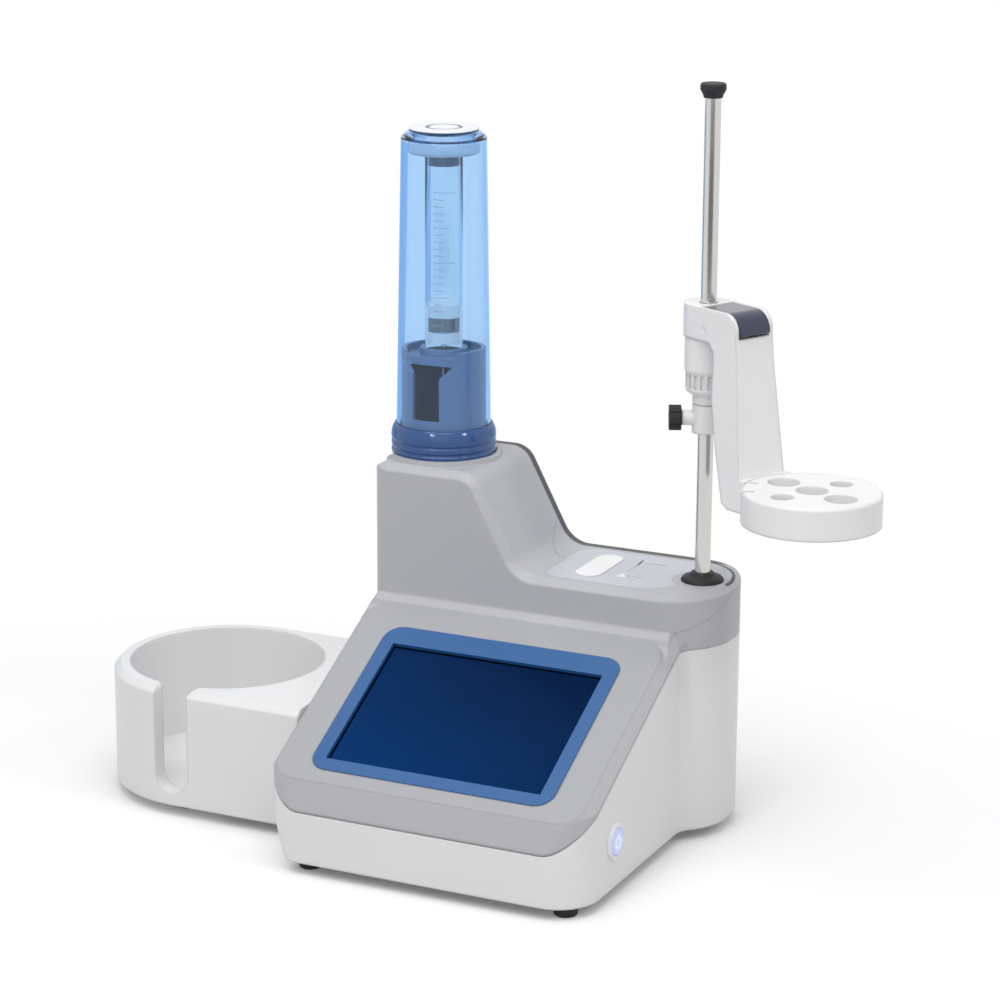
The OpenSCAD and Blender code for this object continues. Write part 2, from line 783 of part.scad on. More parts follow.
module display_frame() color(blue) on_slope() difference() {
    translate([0, 0, glass_top]) linear_extrude(frame_sink + frame_proud)
        plate_outline(-frame_half, frame_half, frame_low, frame_high, [frame_r, frame_r, frame_r, frame_r]);
    translate([-display_w / 2, -display_h / 2, glass_top - 1]) cube([display_w, display_h, 10]);
}

module display_glass() color([0.02, 0.08, 0.2]) on_slope()
    translate([-display_w / 2 - glass_lip, -display_h / 2 - glass_lip, glass_top - glass_t])
        cube([display_w + 2 * glass_lip, display_h + 2 * glass_lip, glass_t]);

module display_module() color(dark) on_slope()
    translate([-display_w / 2 - module_lip, -display_h / 2 - module_lip, panel_d - panel_t - module_t])
        cube([display_w + 2 * module_lip, display_h + 2 * module_lip, module_t]);

display_back = panel_d - panel_t - module_t;
spacer_at = [for (x = [-1, 1]) for (y = [-1, 1]) [x * (display_w / 2 - 6), y * (display_h / 2 - 6)]];
module display_board() color(green) on_slope()
    translate([-display_w / 2, -display_h / 2, display_back - spacer_h - board_t])
        cube([display_w, display_h, board_t]);

main_x = [-30, 80];
main_y = [-34, 62];
main_spacers = [for (x = main_x) for (y = main_y) [x + (x < 0 ? 6 : -6), y + (y < 0 ? 6 : -6)]];
module main_board() color(green) translate([main_x[0], main_y[0], floor_z + spacer_h])
    cube([main_x[1] - main_x[0], main_y[1] - main_y[0], board_t]);

module board_spacers() color(steel) {
    for (p = main_spacers) at(p, floor_z) cylinder(r = 3, h = spacer_h);
    on_slope() for (p = spacer_at) at(p, display_back - spacer_h) cylinder(r = 3, h = spacer_h);
}

// Deck

overlay_t = 0.6;
overlay_r = [12, 26, 8, 12];
overlay_x = [flank_foot + 11, rod[0] - 8];
overlay_y = [block_front + bevel_w + 2, rear_y - 3];
module overlay_outline(d = 0) difference() {
    plate_outline(overlay_x[0] - d, overlay_x[1] + d, overlay_y[0] - d, overlay_y[1] + d,
        overlay_r);
    translate(rod) circle(grommet_r + 5 - d);
}

pad_at = [overlay_x[0] + 24, block_front + block_depth / 2 - 1];
pad_half = [8, 15];
module deck_overlay() color([0.80, 0.80, 0.84]) translate([0, 0, deck_z - overlay_t])
    linear_extrude(overlay_t) overlay_outline();

module deck_pad() color("white") at(pad_at, deck_z) {
    linear_extrude(0.6) pad_outline();
    for (y = [-1 : 1]) translate([0, y * 12, 0.6]) cylinder(r = 3.2, h = 0.3);
}

module pad_outline() {
    translate([-pad_half[0], -pad_half[1]]) square(2 * pad_half);
    for (y = [-1, 1]) translate([0, y * pad_half[1]]) circle(pad_half[0]);
}

// Bottle holder

holder_screw_r = 2;
holder_grip = 9;
holder_holes = [for (y = [-30, 30]) [cup_back + y, cup_top - 14]];
module holder_outline() {
    translate(cup) circle(cup_out);
    translate([cup[0], cup[1] - cup_out]) square([draft_in - base_half - cup[0], 2 * cup_out]);
}

module bottle_holder() color(white) difference() {
    intersection() {
        translate([0, 0, foot_h]) linear_extrude(cup_top - foot_h) holder_outline();
        holder_end();
    }
    translate([0, 0, cup_top]) {
        run = cup_reach + draft_in;
        bevel_arc(cup, cup_out, 90, 180, rim_bevel, rim_bevel);
        bevel_edge([cup[0], cup[1] + cup_out], 90, run, rim_bevel, rim_bevel);
        bevel_edge([cup[0] + run, cup[1] - cup_out], -90, run, rim_bevel, rim_bevel);
    }
    at(cup, well_floor) cylinder(r = cup_r, h = far);
    holder_hollow();
    at([cup[0], cup[1] - cup_r]) slot_cut();
    for (p = holder_holes) translate([holder_right - holder_grip, p[0], p[1]]) rotate([0, 90, 0])
        cylinder(r = holder_screw_r + fit, h = far);
}

// The bridge to the housing is open underneath.
module holder_hollow() difference() {
    start = cup[0] + cup_r / 2;
    roof = cup_top - wall - rim_bevel;
    translate([start, cup[1] - cup_out + wall, foot_h - 1])
        cube([holder_right - wall - start, 2 * (cup_out - wall), roof - foot_h + 1]);
    at(cup) cylinder(r = cup_r + wall, h = far);
    for (p = holder_holes) translate([holder_right - holder_grip - 5, p[0], p[1]]) rotate([0, 90, 0])
        cylinder(r = holder_screw_r + wall, h = far);
}

// The end that meets the housing follows its drawn-in wall.
module holder_end() upright(-far, far) polygon([
    [-far, foot_h], [left_foot - gap / 2, foot_h], [holder_right, draft_z],
    [holder_right, far], [-far, far]
]);

module slot_cut() upright(-cup_wall - 5, 12) {
    translate([0, slot_bottom + slot_w / 2]) circle(slot_w / 2);
    translate([-slot_w / 2, slot_bottom + slot_w / 2]) square([slot_w, far]);
    slot_flare(1);
    slot_flare(-1);
}

// Rounded shoulder at the top of the slot
module slot_flare(side) difference() {
    translate([side > 0 ? slot_w / 2 : -slot_w / 2 - 4, cup_top - 4]) square([4, 5]);
    translate([side * (slot_w / 2 + 4), cup_top - 4]) circle(4);
}

module holder_screws() color(steel) for (p = holder_holes)
    translate([-base_half + wall, p[0], p[1]]) rotate([0, 90, 0]) screw(holder_screw_r, wall + holder_grip);

// Power button

bezel_lip = 1.2;
bezel_t = 1.6;
button_step = 4;
button_proud = 2;
bezel_in = 20;
module at_button() translate([base_half, -button_fwd, button_z]) rotate([0, 90, 0]) children();

// Ring on the wall with a sleeve behind it that holds the button, its spring and the switch
module button_bezel() color("white") at_button() difference() {
    union() {
        cylinder(r1 = bezel_r, r2 = bezel_r - 1, h = bezel_t);
        translate([0, 0, -bezel_in]) cylinder(r = bezel_r - bezel_lip, h = bezel_in);
    }
    translate([0, 0, -button_step - 1]) cylinder(r = button_r + gap, h = far);
    translate([0, 0, -bezel_in - 1]) cylinder(r = button_r + 1.4, h = bezel_in - button_step + 1);
}

module power_button() color([0.55, 0.66, 0.98]) at_button() {
    translate([0, 0, -button_step - 1.2]) cylinder(r = button_r, h = button_step + button_proud + 0.7);
    translate([0, 0, -button_step - 1.2]) cylinder(r = button_r + 1.1, h = 1.1);
    translate([0, 0, button_proud - 0.5]) cylinder(r1 = button_r, r2 = button_r - 0.8, h = 0.5);
}

spring_h = button_travel + 2.2;
switch_top = -button_step - 1.2 - spring_h;
module button_spring() color(steel) at_button()
    translate([0, 0, switch_top]) tube(4, 3, spring_h - button_travel - gap);

module power_switch() color(dark) at_button() {
    translate([0, 0, -bezel_in]) cylinder(r = button_r + 1.4 - fit, h = bezel_in + switch_top);
    for (y = [-4, 4]) translate([-1, y - 0.4, -bezel_in - 5]) cube([2, 0.8, 5]);
}

// Support rod

socket_floor = 6;
flange_t = 4;
module rod_socket() color(steel) at(rod, rod_foot - socket_floor) difference() {
    top = rod_seat + socket_floor - wall;
    union() {
        cylinder(r = socket_r, h = top);
        translate([0, 0, top - flange_t]) cylinder(r = socket_r + 5, h = flange_t);
    }
    translate([0, 0, socket_floor]) cylinder(r = rod_r + fit, h = far);
}

module rod_grommet() color(black) at(rod, deck_z) rotate_extrude() polygon([
    [rod_r + fit, 0], [grommet_r, 0], [grommet_r, 0.8], [grommet_r - 1.2, 2.2],
    [rod_r + 3, 3.6], [rod_r + 2, grommet_h], [rod_r + fit, grommet_h]
]);

module support_rod() color(steel) at(rod, rod_foot) cylinder(r = rod_r, h = rod_top - rod_foot);

cap_lap = 5;
module rod_cap() color(black) at(rod, rod_top - cap_lap) difference() {
    rotate_extrude() polygon([
        [0, 0], [rod_r + 0.8, 0], [rod_r + 1.2, 1.5], [rod_r + 2.8, 4.5], [rod_r + 2.8, 7],
        [rod_r + 2.2, 8], [0, 8]
    ]);
    translate([0, 0, -1]) cylinder(r = rod_r + fit, h = 1 + cap_lap);
}

// Dosing drive

drive_half = guide_r + 9;
drive_reach = guide_off + guide_r + 3;
module drive_top_plate() color(steel) at(burette, drive_top - drive_plate_t) difference() {
    translate([-drive_half, -drive_reach, 0]) cube([2 * drive_half, 2 * drive_reach, drive_plate_t]);
    translate([0, 0, -1]) cylinder(r = ram_r + 2 + fit, h = far);
    for (y = [-1, 1]) translate([0, y * guide_off, -1]) cylinder(r = guide_r + fit, h = drive_plate_t - 1);
}

module ram_bush() color([0.72, 0.55, 0.25]) at(burette, drive_top - drive_plate_t)
    tube(ram_r + 2, ram_r + fit, drive_plate_t);

module drive_motor_plate() color(steel) at(burette, motor_top) difference() {
    translate([-motor_w / 2, -drive_reach, 0]) cube([motor_w, 2 * drive_reach, drive_plate_t]);
    translate([0, 0, -1]) cylinder(r = coupling_r + 1, h = far);
    for (y = [-1, 1]) translate([0, y * guide_off, drive_plate_t - 4]) cylinder(r = guide_r + fit, h = far);
}

module guide_rods() color(steel) for (y = [-1, 1])
    at(burette + [0, y * guide_off], motor_top + drive_plate_t - 4)
        cylinder(r = guide_r, h = drive_top - 2 - motor_top - drive_plate_t + 4);

module drive_motor() color(black) at(burette, motor_top - motor_h) difference() {
    intersection() {
        corner = 0.66 * motor_w;
        translate([-motor_w / 2, -motor_w / 2, 0]) cube([motor_w, motor_w, motor_h]);
        rotate(45) translate([-corner, -corner, -1]) cube([2 * corner, 2 * corner, motor_h + 2]);
    }
    translate([0, 0, motor_h - 10]) cylinder(r = 2.5 + fit, h = far);
}

module screw_coupling() color([0.6, 0.6, 0.62]) at(burette, motor_top) {
    translate([0, 0, -9]) cylinder(r = 2.5, h = 9 + drive_plate_t);
    translate([0, 0, 2]) cylinder(r = coupling_r, h = coupling_h + drive_plate_t - 2);
}

module lead_screw() color(steel) at(burette, motor_top + drive_plate_t + coupling_h)
    cylinder(r = screw_r, h = screw_top - motor_top - drive_plate_t - coupling_h);

module drive_nut() color([0.85, 0.85, 0.80]) at(burette, nut_z) difference() {
    union() {
        cylinder(r = nut_r, h = nut_h);
        translate([-guide_r - 4, -drive_reach, 0]) cube([2 * guide_r + 8, 2 * drive_reach, nut_h]);
    }
    translate([0, 0, -1]) cylinder(r = screw_r + fit, h = far);
    for (y = [-1, 1]) translate([0, y * guide_off, -1]) cylinder(r = guide_r + fit, h = far);
}

module ram_tube() color(steel) at(burette, nut_z + nut_h) difference() {
    cylinder(r = ram_r, h = ram_len - nut_h);
    translate([0, 0, -1]) cylinder(r = ram_r - ram_wall, h = ram_len - nut_h - ram_cap + 1);
}

// Burette

module plunger_rod() color(steel) at(burette, ram_top) cylinder(r = 1.5, h = seal_z - ram_top);

module plunger_seal() color([0.85, 0.88, 0.92]) at(burette, seal_z)
    cylinder(r = plunger_r, h = plunger_seal_h);

module plunger_ring() color(steel) at(burette, seal_z + plunger_seal_h)
    cylinder(r = plunger_r - 0.3, h = plunger_ring_h);

module plunger_head() color([0.85, 0.88, 0.92]) at(burette, seal_z + plunger_seal_h + plunger_ring_h) {
    cylinder(r = plunger_r, h = plunger_head_h - 4);
    translate([0, 0, plunger_head_h - 4]) cylinder(r1 = plunger_r - 0.6, r2 = plunger_r - 2, h = 4);
}

window_w = 16.5;
window_low = 24;
window_top = 50;
module burette_base() color(slate) at(burette, tower_z) difference() {
    union() {
        tube(sleeve_r, sleeve_in, sleeve_h);
        translate([0, 0, -wall + 0.5]) tube(sleeve_r, sleeve_in, wall - 0.5);
        tube(cover_r - cover_wall - 0.6, sleeve_in, 2);
        translate([0, 0, barrel_z - tower_z - web_t]) tube(sleeve_in + 1, ram_r + 0.8, web_t);
        translate([0, 0, barrel_z - tower_z]) tube(barrel_r + 3, barrel_r + fit, 4);
    }
    upright(-sleeve_r - 1, -barrel_r - 5) base_notch();
}

// The window in the front of the base opens out into a sloping cut at the top.
module base_notch() {
    side = sleeve_r + 1;
    polygon([
        [-window_w / 2, window_low], [window_w / 2, window_low], [window_w / 2, window_top],
        [window_w / 2 + 11, sleeve_h - 4], [side, sleeve_h - 2], [side, sleeve_h + 1],
        [-side, sleeve_h + 1], [-side, sleeve_h - 3], [-window_w / 2 - 5, window_top + 7],
        [-window_w / 2, window_top + 2]
    ]);
}

module glass_barrel() color([0.75, 0.85, 0.95, 0.4]) at(burette, barrel_z)
    tube(barrel_r, barrel_in, barrel_h);

// Plug of the head that closes the top of the barrel
module barrel_plug() color(slate) at(burette, barrel_z + barrel_h - plug_h)
    cylinder(r = barrel_in - fit, h = plug_h);

module barrel_head() color([0.62, 0.76, 0.93]) at(burette, barrel_z + barrel_h) difference() {
    union() {
        cylinder(r = head_r - 1, h = 1);
        translate([0, 0, 1]) cylinder(r = head_r, h = head_h - 2);
        translate([0, 0, head_h - 1]) cylinder(r1 = head_r, r2 = head_r - 1, h = 1);
    }
    for (x = [-1, 1]) translate([8 * x, 0, 3]) cylinder(r = 3, h = far);
}

function cover_radius(z) = cover_r + (cover_top_r - cover_r) * (z - cover_foot) / (shoulder_z - cover_foot);
module burette_cover() color(clear_blue) at(burette) rotate_extrude() polygon([
    [cover_r - cover_wall, cover_foot], [cover_r, cover_foot], [cover_top_r, shoulder_z],
    [cap_r + 0.4, shoulder_z + shoulder_h], [cap_r - 3, shoulder_z + shoulder_h],
    [cap_r - 3, shoulder_z + shoulder_h - 2], [cover_top_r - cover_wall, shoulder_z - 1.5]
]);

module cover_collar() color([0.20, 0.36, 0.66]) at(burette, tower_z) difference() {
    rotate_extrude() collar_profile();
    translate([0, 0, cover_foot - tower_z])
        cylinder(
            r1 = cover_r + fit, r2 = cover_radius(tower_z + collar_h + 1) + fit,
            h = collar_h + 1 - cover_foot + tower_z
        );
}

// Two bands with grooves under a sloping shoulder
module collar_profile() polygon([
    [cover_r - cover_wall + 0.6, 0], [collar_r - 0.8, 0], [collar_r, 1], [collar_r, 4],
    [collar_r - 0.8, 4.8], [collar_r - 0.8, 6], [collar_r, 6.8], [collar_r, collar_h - 6],
    [collar_r - 0.7, collar_h - 4.5], [cover_r + 0.8, collar_h], [cover_r - cover_wall + 0.6, collar_h]
]);

module cover_cap() color([0.90, 0.95, 1.0]) at(burette, shoulder_z + shoulder_h - 2) difference() {
    union() {
        cylinder(r = cap_r - 3.1, h = 2);
        translate([0, 0, 2]) cylinder(r1 = cap_r, r2 = cap_r - 0.8, h = 2);
    }
    translate([0, 0, 3]) tube(10.4, 9.4, 5);
}

// Electrode arm

module stop_collar() color(white) at(rod, stop_z) difference() {
    union() {
        cylinder(r = stop_r, h = stop_h);
        rotate(screw_dir) translate([0, 0, stop_h / 2]) rotate([0, 90, 0]) cylinder(r = boss_r, h = boss_out);
    }
    translate([0, 0, -1]) cylinder(r = rod_r + fit, h = far);
    rotate(screw_dir) translate([0, 0, stop_h / 2]) rotate([0, 90, 0]) cylinder(r = shank_r + fit, h = far);
}

module clamp_screw() color(black) at(rod, stop_z + stop_h / 2) rotate(screw_dir) rotate([0, 90, 0]) {
    translate([0, 0, rod_r + 0.4]) cylinder(r = shank_r, h = boss_out + gap - rod_r - 0.4);
    translate([0, 0, boss_out + gap]) difference() {
        cylinder(r = knob_r, h = knob_t);
        for (a = [0 : 60 : 300]) rotate(a) translate([knob_r + 1, 0, -1]) cylinder(r = 2.2, h = far);
    }
}

module clamp_bush() color(white) at(rod, bush_low) difference() {
    rotate_extrude() polygon([
        [rod_r + fit, 0], [bush_neck - 0.6, 0], [bush_neck, 0.6], [bush_neck, 5],
        [bush_body - 1.4, 7.5], [bush_body - 0.8, 9],
        [bush_body - 0.8, recess_low + 11 - bush_low], [bush_body, recess_low + 12 - bush_low],
        [bush_body, head_under - gap - bush_low], [bush_in, head_under - gap - bush_low],
        [bush_in, head_top - 4 - bush_low], [rod_r + fit, head_top - 4 - bush_low]
    ]);
    for (a = [0 : 20 : 340]) rotate(a) translate([bush_body - 2.2, -1, 10])
        cube([4, 2, recess_low - bush_low]);
}

// Side view of the arm, out from the rod and up
module arm_side() {
    polygon([
        [-far, head_under], [recess_out - 4, head_under], [recess_out, head_under - 5],
        [recess_out + 0.6, recess_low],
        [recess_out + 6, disc_top + 14], [recess_out + 11, disc_top - 4], [recess_out + 14, disc_low + 3],
        [recess_out + 19, disc_low], [disc_out - disc_r + 8, disc_low], [disc_out - disc_r + 8, disc_top],
        [arm_foot_out, disc_top], [arm_out, lever_tip - lever_drop], [arm_out, head_top - lever_r],
        [arm_out - lever_r, head_top], [-far, head_top]
    ]);
    translate([arm_out - lever_r, head_top - lever_r]) circle(lever_r);
}

module arm_beam() color(white) on_arm() difference() {
    intersection() {
        upright(-far, far) arm_side();
        union() {
            translate([0, 0, head_under - 6]) cylinder(r = arm_half, h = far);
            across(0, far) polygon([
                [-arm_foot_half, disc_low], [arm_foot_half, disc_low], [arm_half, head_under - 10],
                [arm_half, head_top], [-arm_half, head_top], [-arm_half, head_under - 10]
            ]);
        }
    }
    translate([0, 0, head_under - 1]) cylinder(r = bush_in + fit, h = head_top - 4 + gap - head_under + 1);
    cylinder(r = rod_r + 0.6, h = far);
    upright(-lever_half - gap, lever_half + gap) lever_slot();
    translate([lever_pivot[0], 0, lever_pivot[1]]) rotate([90, 0, 0])
        cylinder(r = pin_r + fit, h = 2 * arm_half - 1, center = true);
    translate([disc_out, 0, 0]) cylinder(r = disc_r + 0.1, h = disc_top + 1);
    for (y = disc_screw_y) translate([disc_out - disc_r - 8, y, disc_low + disc_h / 2]) rotate([0, 90, 0])
        cylinder(r = plate_screw_r + fit, h = far);
}

// Room for the lever over the whole of its swing, seen from the side
module lever_slot() {
    translate([lever_back - 1.5, head_top - lever_t - lever_drop]) square([far, 40]);
    translate([arm_out - lever_r, lever_tip - lever_drop]) square([far, 40]);
    translate([lever_pivot[0], lever_pivot[1]]) circle(lever_boss + gap);
    translate([lever_pivot[0] - lever_boss - 1.2, lever_pivot[1]]) square([2 * lever_boss + 2.4, 40]);
}

module release_lever() color(navy) on_arm() difference() {
    upright(-lever_half, lever_half) lever_side();
    translate([lever_pivot[0], 0, lever_pivot[1]]) rotate([90, 0, 0])
        cylinder(r = pin_r + fit, h = far, center = true);
}

module lever_side() {
    bend = [arm_out - lever_r, head_top - lever_r - 1.5];
    translate([lever_back, head_top - lever_t]) square([bend[0] - lever_back, lever_t]);
    translate(lever_pivot) circle(lever_boss);
    translate([lever_pivot[0] - lever_boss, lever_pivot[1]])
        square([2 * lever_boss, head_top - 1 - lever_pivot[1]]);
    intersection() {
        translate(bend) difference() {
            circle(lever_r + 1.5);
            circle(lever_skin);
        }
        translate([bend[0], lever_tip]) square([2 * lever_r, 2 * lever_r]);
    }
}

module lever_pin() color(steel) on_arm() translate([lever_pivot[0], 0, lever_pivot[1]]) rotate([90, 0, 0])
    cylinder(r = pin_r, h = 2 * arm_half - 1, center = true);

spring_out = 12;
module lever_spring() color(steel) on_arm()
    translate([lever_pivot[0] + spring_out, 0, head_top - lever_t - lever_drop])
        tube(3, 2.2, lever_drop - spring_out * sin(lever_swing) - gap);

holes = [
    [0, 0, hole_big], [180, hole_ring, hole_big], [0, hole_ring, hole_big],
    [90, hole_ring, hole_small], [270, hole_ring, hole_small]
];
module electrode_disc() color(white) on_arm() translate([disc_out, 0, disc_low]) difference() {
    union() {
        difference() {
            cylinder(r = disc_r, h = disc_h);
            translate([0, 0, -1]) cylinder(r = disc_r - disc_wall, h = disc_h - disc_wall + 1);
        }
        for (h = holes) rotate(h[0]) translate([h[1], 0, 0]) cylinder(r = h[2] + 1.8, h = disc_h);
    }
    for (h = holes) rotate(h[0]) translate([h[1], 0, -1]) cylinder(r = h[2], h = far);
    for (a = [205, 235]) rotate(a) translate([disc_r - 7, -1.2, -1]) cube([20, 2.4, far]);
    for (y = disc_screw_y) translate([-disc_r - 1, y, disc_h / 2]) rotate([0, 90, 0])
        cylinder(r = plate_screw_r + 0.2, h = disc_wall + 6);
    translate([0, 0, disc_h]) bevel_arc([0, 0], disc_r, 0, 360, disc_bevel, disc_bevel);
}

// Screws from inside the disc's skirt into the foot of the arm
disc_seat = [
    for (y = disc_screw_y) disc_out - sqrt(pow(disc_r - disc_wall, 2) - pow(abs(y) + 2 * plate_screw_r, 2))
];
module disc_screws() color(steel) on_arm() for (i = [0 : len(disc_screw_y) - 1])
    translate([disc_seat[i] + 0.1, disc_screw_y[i], disc_low + disc_h / 2]) rotate([0, 90, 0])
        screw(plate_screw_r, disc_wall + 6);

placed() lower_housing();
placed() bottom_plate();
placed() feet();
placed() bottom_screws();
placed() upper_housing();
placed() rear_cover();
placed() rear_screws();
placed() display_frame();
placed() display_glass();
placed() display_module();
placed() display_board();
placed() main_board();
placed() board_spacers();
placed() deck_overlay();
placed() deck_pad();
placed() bottle_holder();
placed() holder_screws();
placed() power_inlet();
placed() data_sockets();
placed() electrode_sockets();
placed() button_bezel();
placed() power_button();
placed() button_spring();
placed() power_switch();
placed() rod_socket();
placed() rod_grommet();
placed() support_rod();
placed() rod_cap();
placed() drive_top_plate();
placed() drive_motor_plate();
placed() guide_rods();
placed() drive_motor();
placed() ram_bush();
placed() screw_coupling();
placed() lead_screw();
placed() drive_nut();
placed() ram_tube();
placed() plunger_rod();
placed() plunger_seal();
placed() plunger_ring();
placed() plunger_head();
placed() burette_base();
placed() glass_barrel();
placed() barrel_plug();
placed() barrel_head();
placed() burette_cover();
placed() cover_collar();
placed() cover_cap();
placed() stop_collar();
placed() clamp_screw();
placed() clamp_bush();
placed() arm_beam();
placed() electrode_disc();
placed() disc_screws();
placed() release_lever();
placed() lever_pin();
placed() lever_spring();
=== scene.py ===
"""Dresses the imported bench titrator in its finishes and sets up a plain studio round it."""

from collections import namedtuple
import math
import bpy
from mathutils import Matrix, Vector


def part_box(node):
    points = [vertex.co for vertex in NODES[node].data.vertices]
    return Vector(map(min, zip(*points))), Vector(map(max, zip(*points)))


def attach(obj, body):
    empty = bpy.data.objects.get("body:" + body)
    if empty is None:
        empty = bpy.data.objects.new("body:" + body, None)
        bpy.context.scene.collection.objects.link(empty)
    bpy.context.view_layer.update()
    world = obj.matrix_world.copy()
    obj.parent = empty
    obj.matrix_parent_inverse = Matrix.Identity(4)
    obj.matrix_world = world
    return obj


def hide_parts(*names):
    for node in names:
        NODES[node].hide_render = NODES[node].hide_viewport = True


bl_info = {
    "name": "Bench titrator",
    "version": (1, 0, 0),
    "blender": (4, 5, 0),
    "location": "3D View > Sidebar > Titrator",
    "description": "Dresses the packed bench titrator and sets up a plain studio round it",
    "category": "Object",
}

import bmesh
import bpy
from bpy.props import FloatProperty, FloatVectorProperty, IntProperty, PointerProperty
from mathutils import Matrix, Vector

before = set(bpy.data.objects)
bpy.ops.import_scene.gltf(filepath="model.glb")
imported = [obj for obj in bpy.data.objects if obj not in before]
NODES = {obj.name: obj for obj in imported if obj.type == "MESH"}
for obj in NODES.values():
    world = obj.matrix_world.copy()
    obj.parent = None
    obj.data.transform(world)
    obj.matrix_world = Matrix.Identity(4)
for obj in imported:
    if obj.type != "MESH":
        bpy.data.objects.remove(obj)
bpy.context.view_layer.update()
MM = 0.001
TURN_STEPS = 160
SHARP = math.radians(38)
JOINED = 2e-6
NO_RADIUS = 1e-7

# Finishes: height under which moulded plastic turns darker towards the bottom, and the stretch of the lines
# in drawn metal and in clear pieces
LOW_DARKENING_TOP = 12 * MM
DRAWN_LINES = (600.0, 600.0, 8.0)
FLOW_LINES = (40.0, 40.0, 6.0)

# Floor: shadows show in an oval round the part, and it turns to plain white between near and far
FLOOR_SIZE = 12.0
FLOOR_MIDDLE = -0.06
FLOOR_STRETCH = 0.7
FLOOR_NEAR = 0.14
FLOOR_FAR = 0.36
TABLE_SHADE = (0.68, 0.68, 0.68)
WHITE = (1.0, 1.0, 1.0)

# Lamps: place, target, width and the stage value that holds the power
LAMPS = {
    "key_lamp": ((0.05, -0.45, 1.9), (0.0, 0.0, 0.1), 1.7, "key"),
    "fill_lamp": ((0.6, -2.2, 1.0), (0.0, 0.0, 0.15), 1.5, "fill"),
    "small_lamp_left": ((-0.14, -1.45, 1.42), (0.0, 0.0, 0.2), 0.25, "small"),
    "small_lamp_right": ((1.44, -0.19, 1.42), (0.0, 0.0, 0.2), 0.25, "small"),
}

# Cards for reflections: place, size, angle from the floor and colour
CARDS = {
    "grey_card_front": ((1.0, -2.15, 0.002), (2.6, 2.0), 0.0, (0.10, 0.10, 0.10)),
    "blue_card_left": ((-0.705, 0.43, 0.16), (0.64, 0.31), math.pi / 2, (0.42, 0.62, 0.89)),
    "blue_card_back": ((0.145, 0.80, 0.16), (0.55, 0.31), math.pi / 2, (0.60, 0.80, 0.98)),
}
SENSOR_WIDTH = 36.0
VIEW_DEPTH = 50.0


def middle(node):
    low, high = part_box(node)
    return (low + high) / 2


def radius_of(node):
    low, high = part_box(node)
    return (high.x - low.x) / 2


# Sizes and colours that a user would change


def colour_property(name, description, colour):
    return FloatVectorProperty(
        name=name, description=description, default=colour, subtype="COLOR", size=3, min=0, max=1
    )


def length_property(name, description, metres):
    return FloatProperty(name=name, description=description, default=metres, unit="LENGTH", precision=5)


def angle_property(name, description, degrees):
    return FloatProperty(name=name, description=description, default=math.radians(degrees), unit="ROTATION")


class TitratorColours(bpy.types.PropertyGroup):
    """Colours of the titrator's finishes"""

    white: colour_property("White housing", "Lower housing, bottle holder and arm", (0.80, 0.80, 0.805))
    grey: colour_property("Grey housing", "Upper housing", (0.475, 0.48, 0.505))
    dark: colour_property("Dark plastic", "Rear cover and bottom plate", (0.075, 0.077, 0.085))
    frame_blue: colour_property("Display frame", "Frame round the display", (0.018, 0.108, 0.31))
    screen_deep: colour_property("Screen, dark end", "Upper right of the screen", (0.0018, 0.0135, 0.058))
    screen_light: colour_property("Screen, light end", "Lower left of the screen", (0.0026, 0.0405, 0.168))
    cover_blue: colour_property("Clear cover", "Tint of the clear burette cover", (0.42, 0.70, 0.98))
    collar_blue: colour_property("Collar", "Ribbed collar of the cover", (0.043, 0.126, 0.36))
    slate: colour_property("Burette base", "Sleeve inside the cover", (0.135, 0.205, 0.325))
    navy: colour_property("Release lever", "Lever in the arm's head", (0.011, 0.012, 0.053))
    rubber: colour_property("Rubber", "Feet, grommet, knob and rod cap", (0.012, 0.012, 0.014))
    steel: colour_property("Steel", "Support rod and metal pieces", (0.66, 0.645, 0.62))
    overlay: colour_property("Deck film", "Film on the deck", (0.555, 0.565, 0.63))
    lamp: colour_property("Button light", "Light in the power button", (0.22, 0.36, 0.95))


class TitratorSizes(bpy.types.PropertyGroup):
    """Sizes of what is added to the solids"""

    edge: length_property("Edge round", "Rounding of the moulded edges", 0.7 * MM)
    soft_edge: length_property("Soft edge", "Radius that the housings' edges catch the light with", 2.2 * MM)
    fine_edge: length_property("Fine edge round", "Rounding of the small pieces' edges", 0.25 * MM)
    cover_wall: length_property("Cover wall", "Wall of the clear cover", 2.0 * MM)
    shoulder_r: length_property("Cover shoulder", "Radius of the cover at its shoulder", 25.0 * MM)
    shoulder_h: length_property("Shoulder height", "Height of the cover's shoulder", 3.5 * MM)
    cap_disc: length_property("Cap disc", "Thickness of the white disc on the cap", 1.1 * MM)
    barrel_wall: length_property("Barrel wall", "Wall of the glass barrel", 1.4 * MM)
    mark_t: length_property("Print thickness", "Thickness of printed marks", 0.06 * MM)
    tick_w: length_property("Scale line width", "Width of the lines on the barrel", 0.35 * MM)
    screen_w: length_property("Screen width", "Width of the lit part of the display", 130 * MM)
    screen_h: length_property("Screen height", "Height of the lit part of the display", 91 * MM)
    tilt: angle_property("Display tilt", "Slope of the display", 27.7)
    slope_z: length_property("Display height", "Height of the display's middle on the slope", 85 * MM)
    slope_origin: FloatVectorProperty(
        name="Display place", description="Plan place of the display's middle",
        default=(19.3828 * MM, -46.5 * MM), size=2, unit="LENGTH"
    )
    panel_half: length_property("Panel half width", "Half the width of the raised panel", 94.5 * MM)
    panel_d: length_property("Panel height", "Height of the raised panel on the slope", 1.0 * MM)
    base_half: length_property("Base half width", "Half the width of the housing's front", 99.5 * MM)
    ledge_z: length_property("Strip height", "Height of the strip over the panel at the wall", 127.1 * MM)
    band_slope: FloatProperty(name="Band slope", description="Fall of the band beside the panel", default=1.3)
    ticks: IntProperty(name="Scale lines", description="Lines of the scale on the barrel", default=21, min=2)


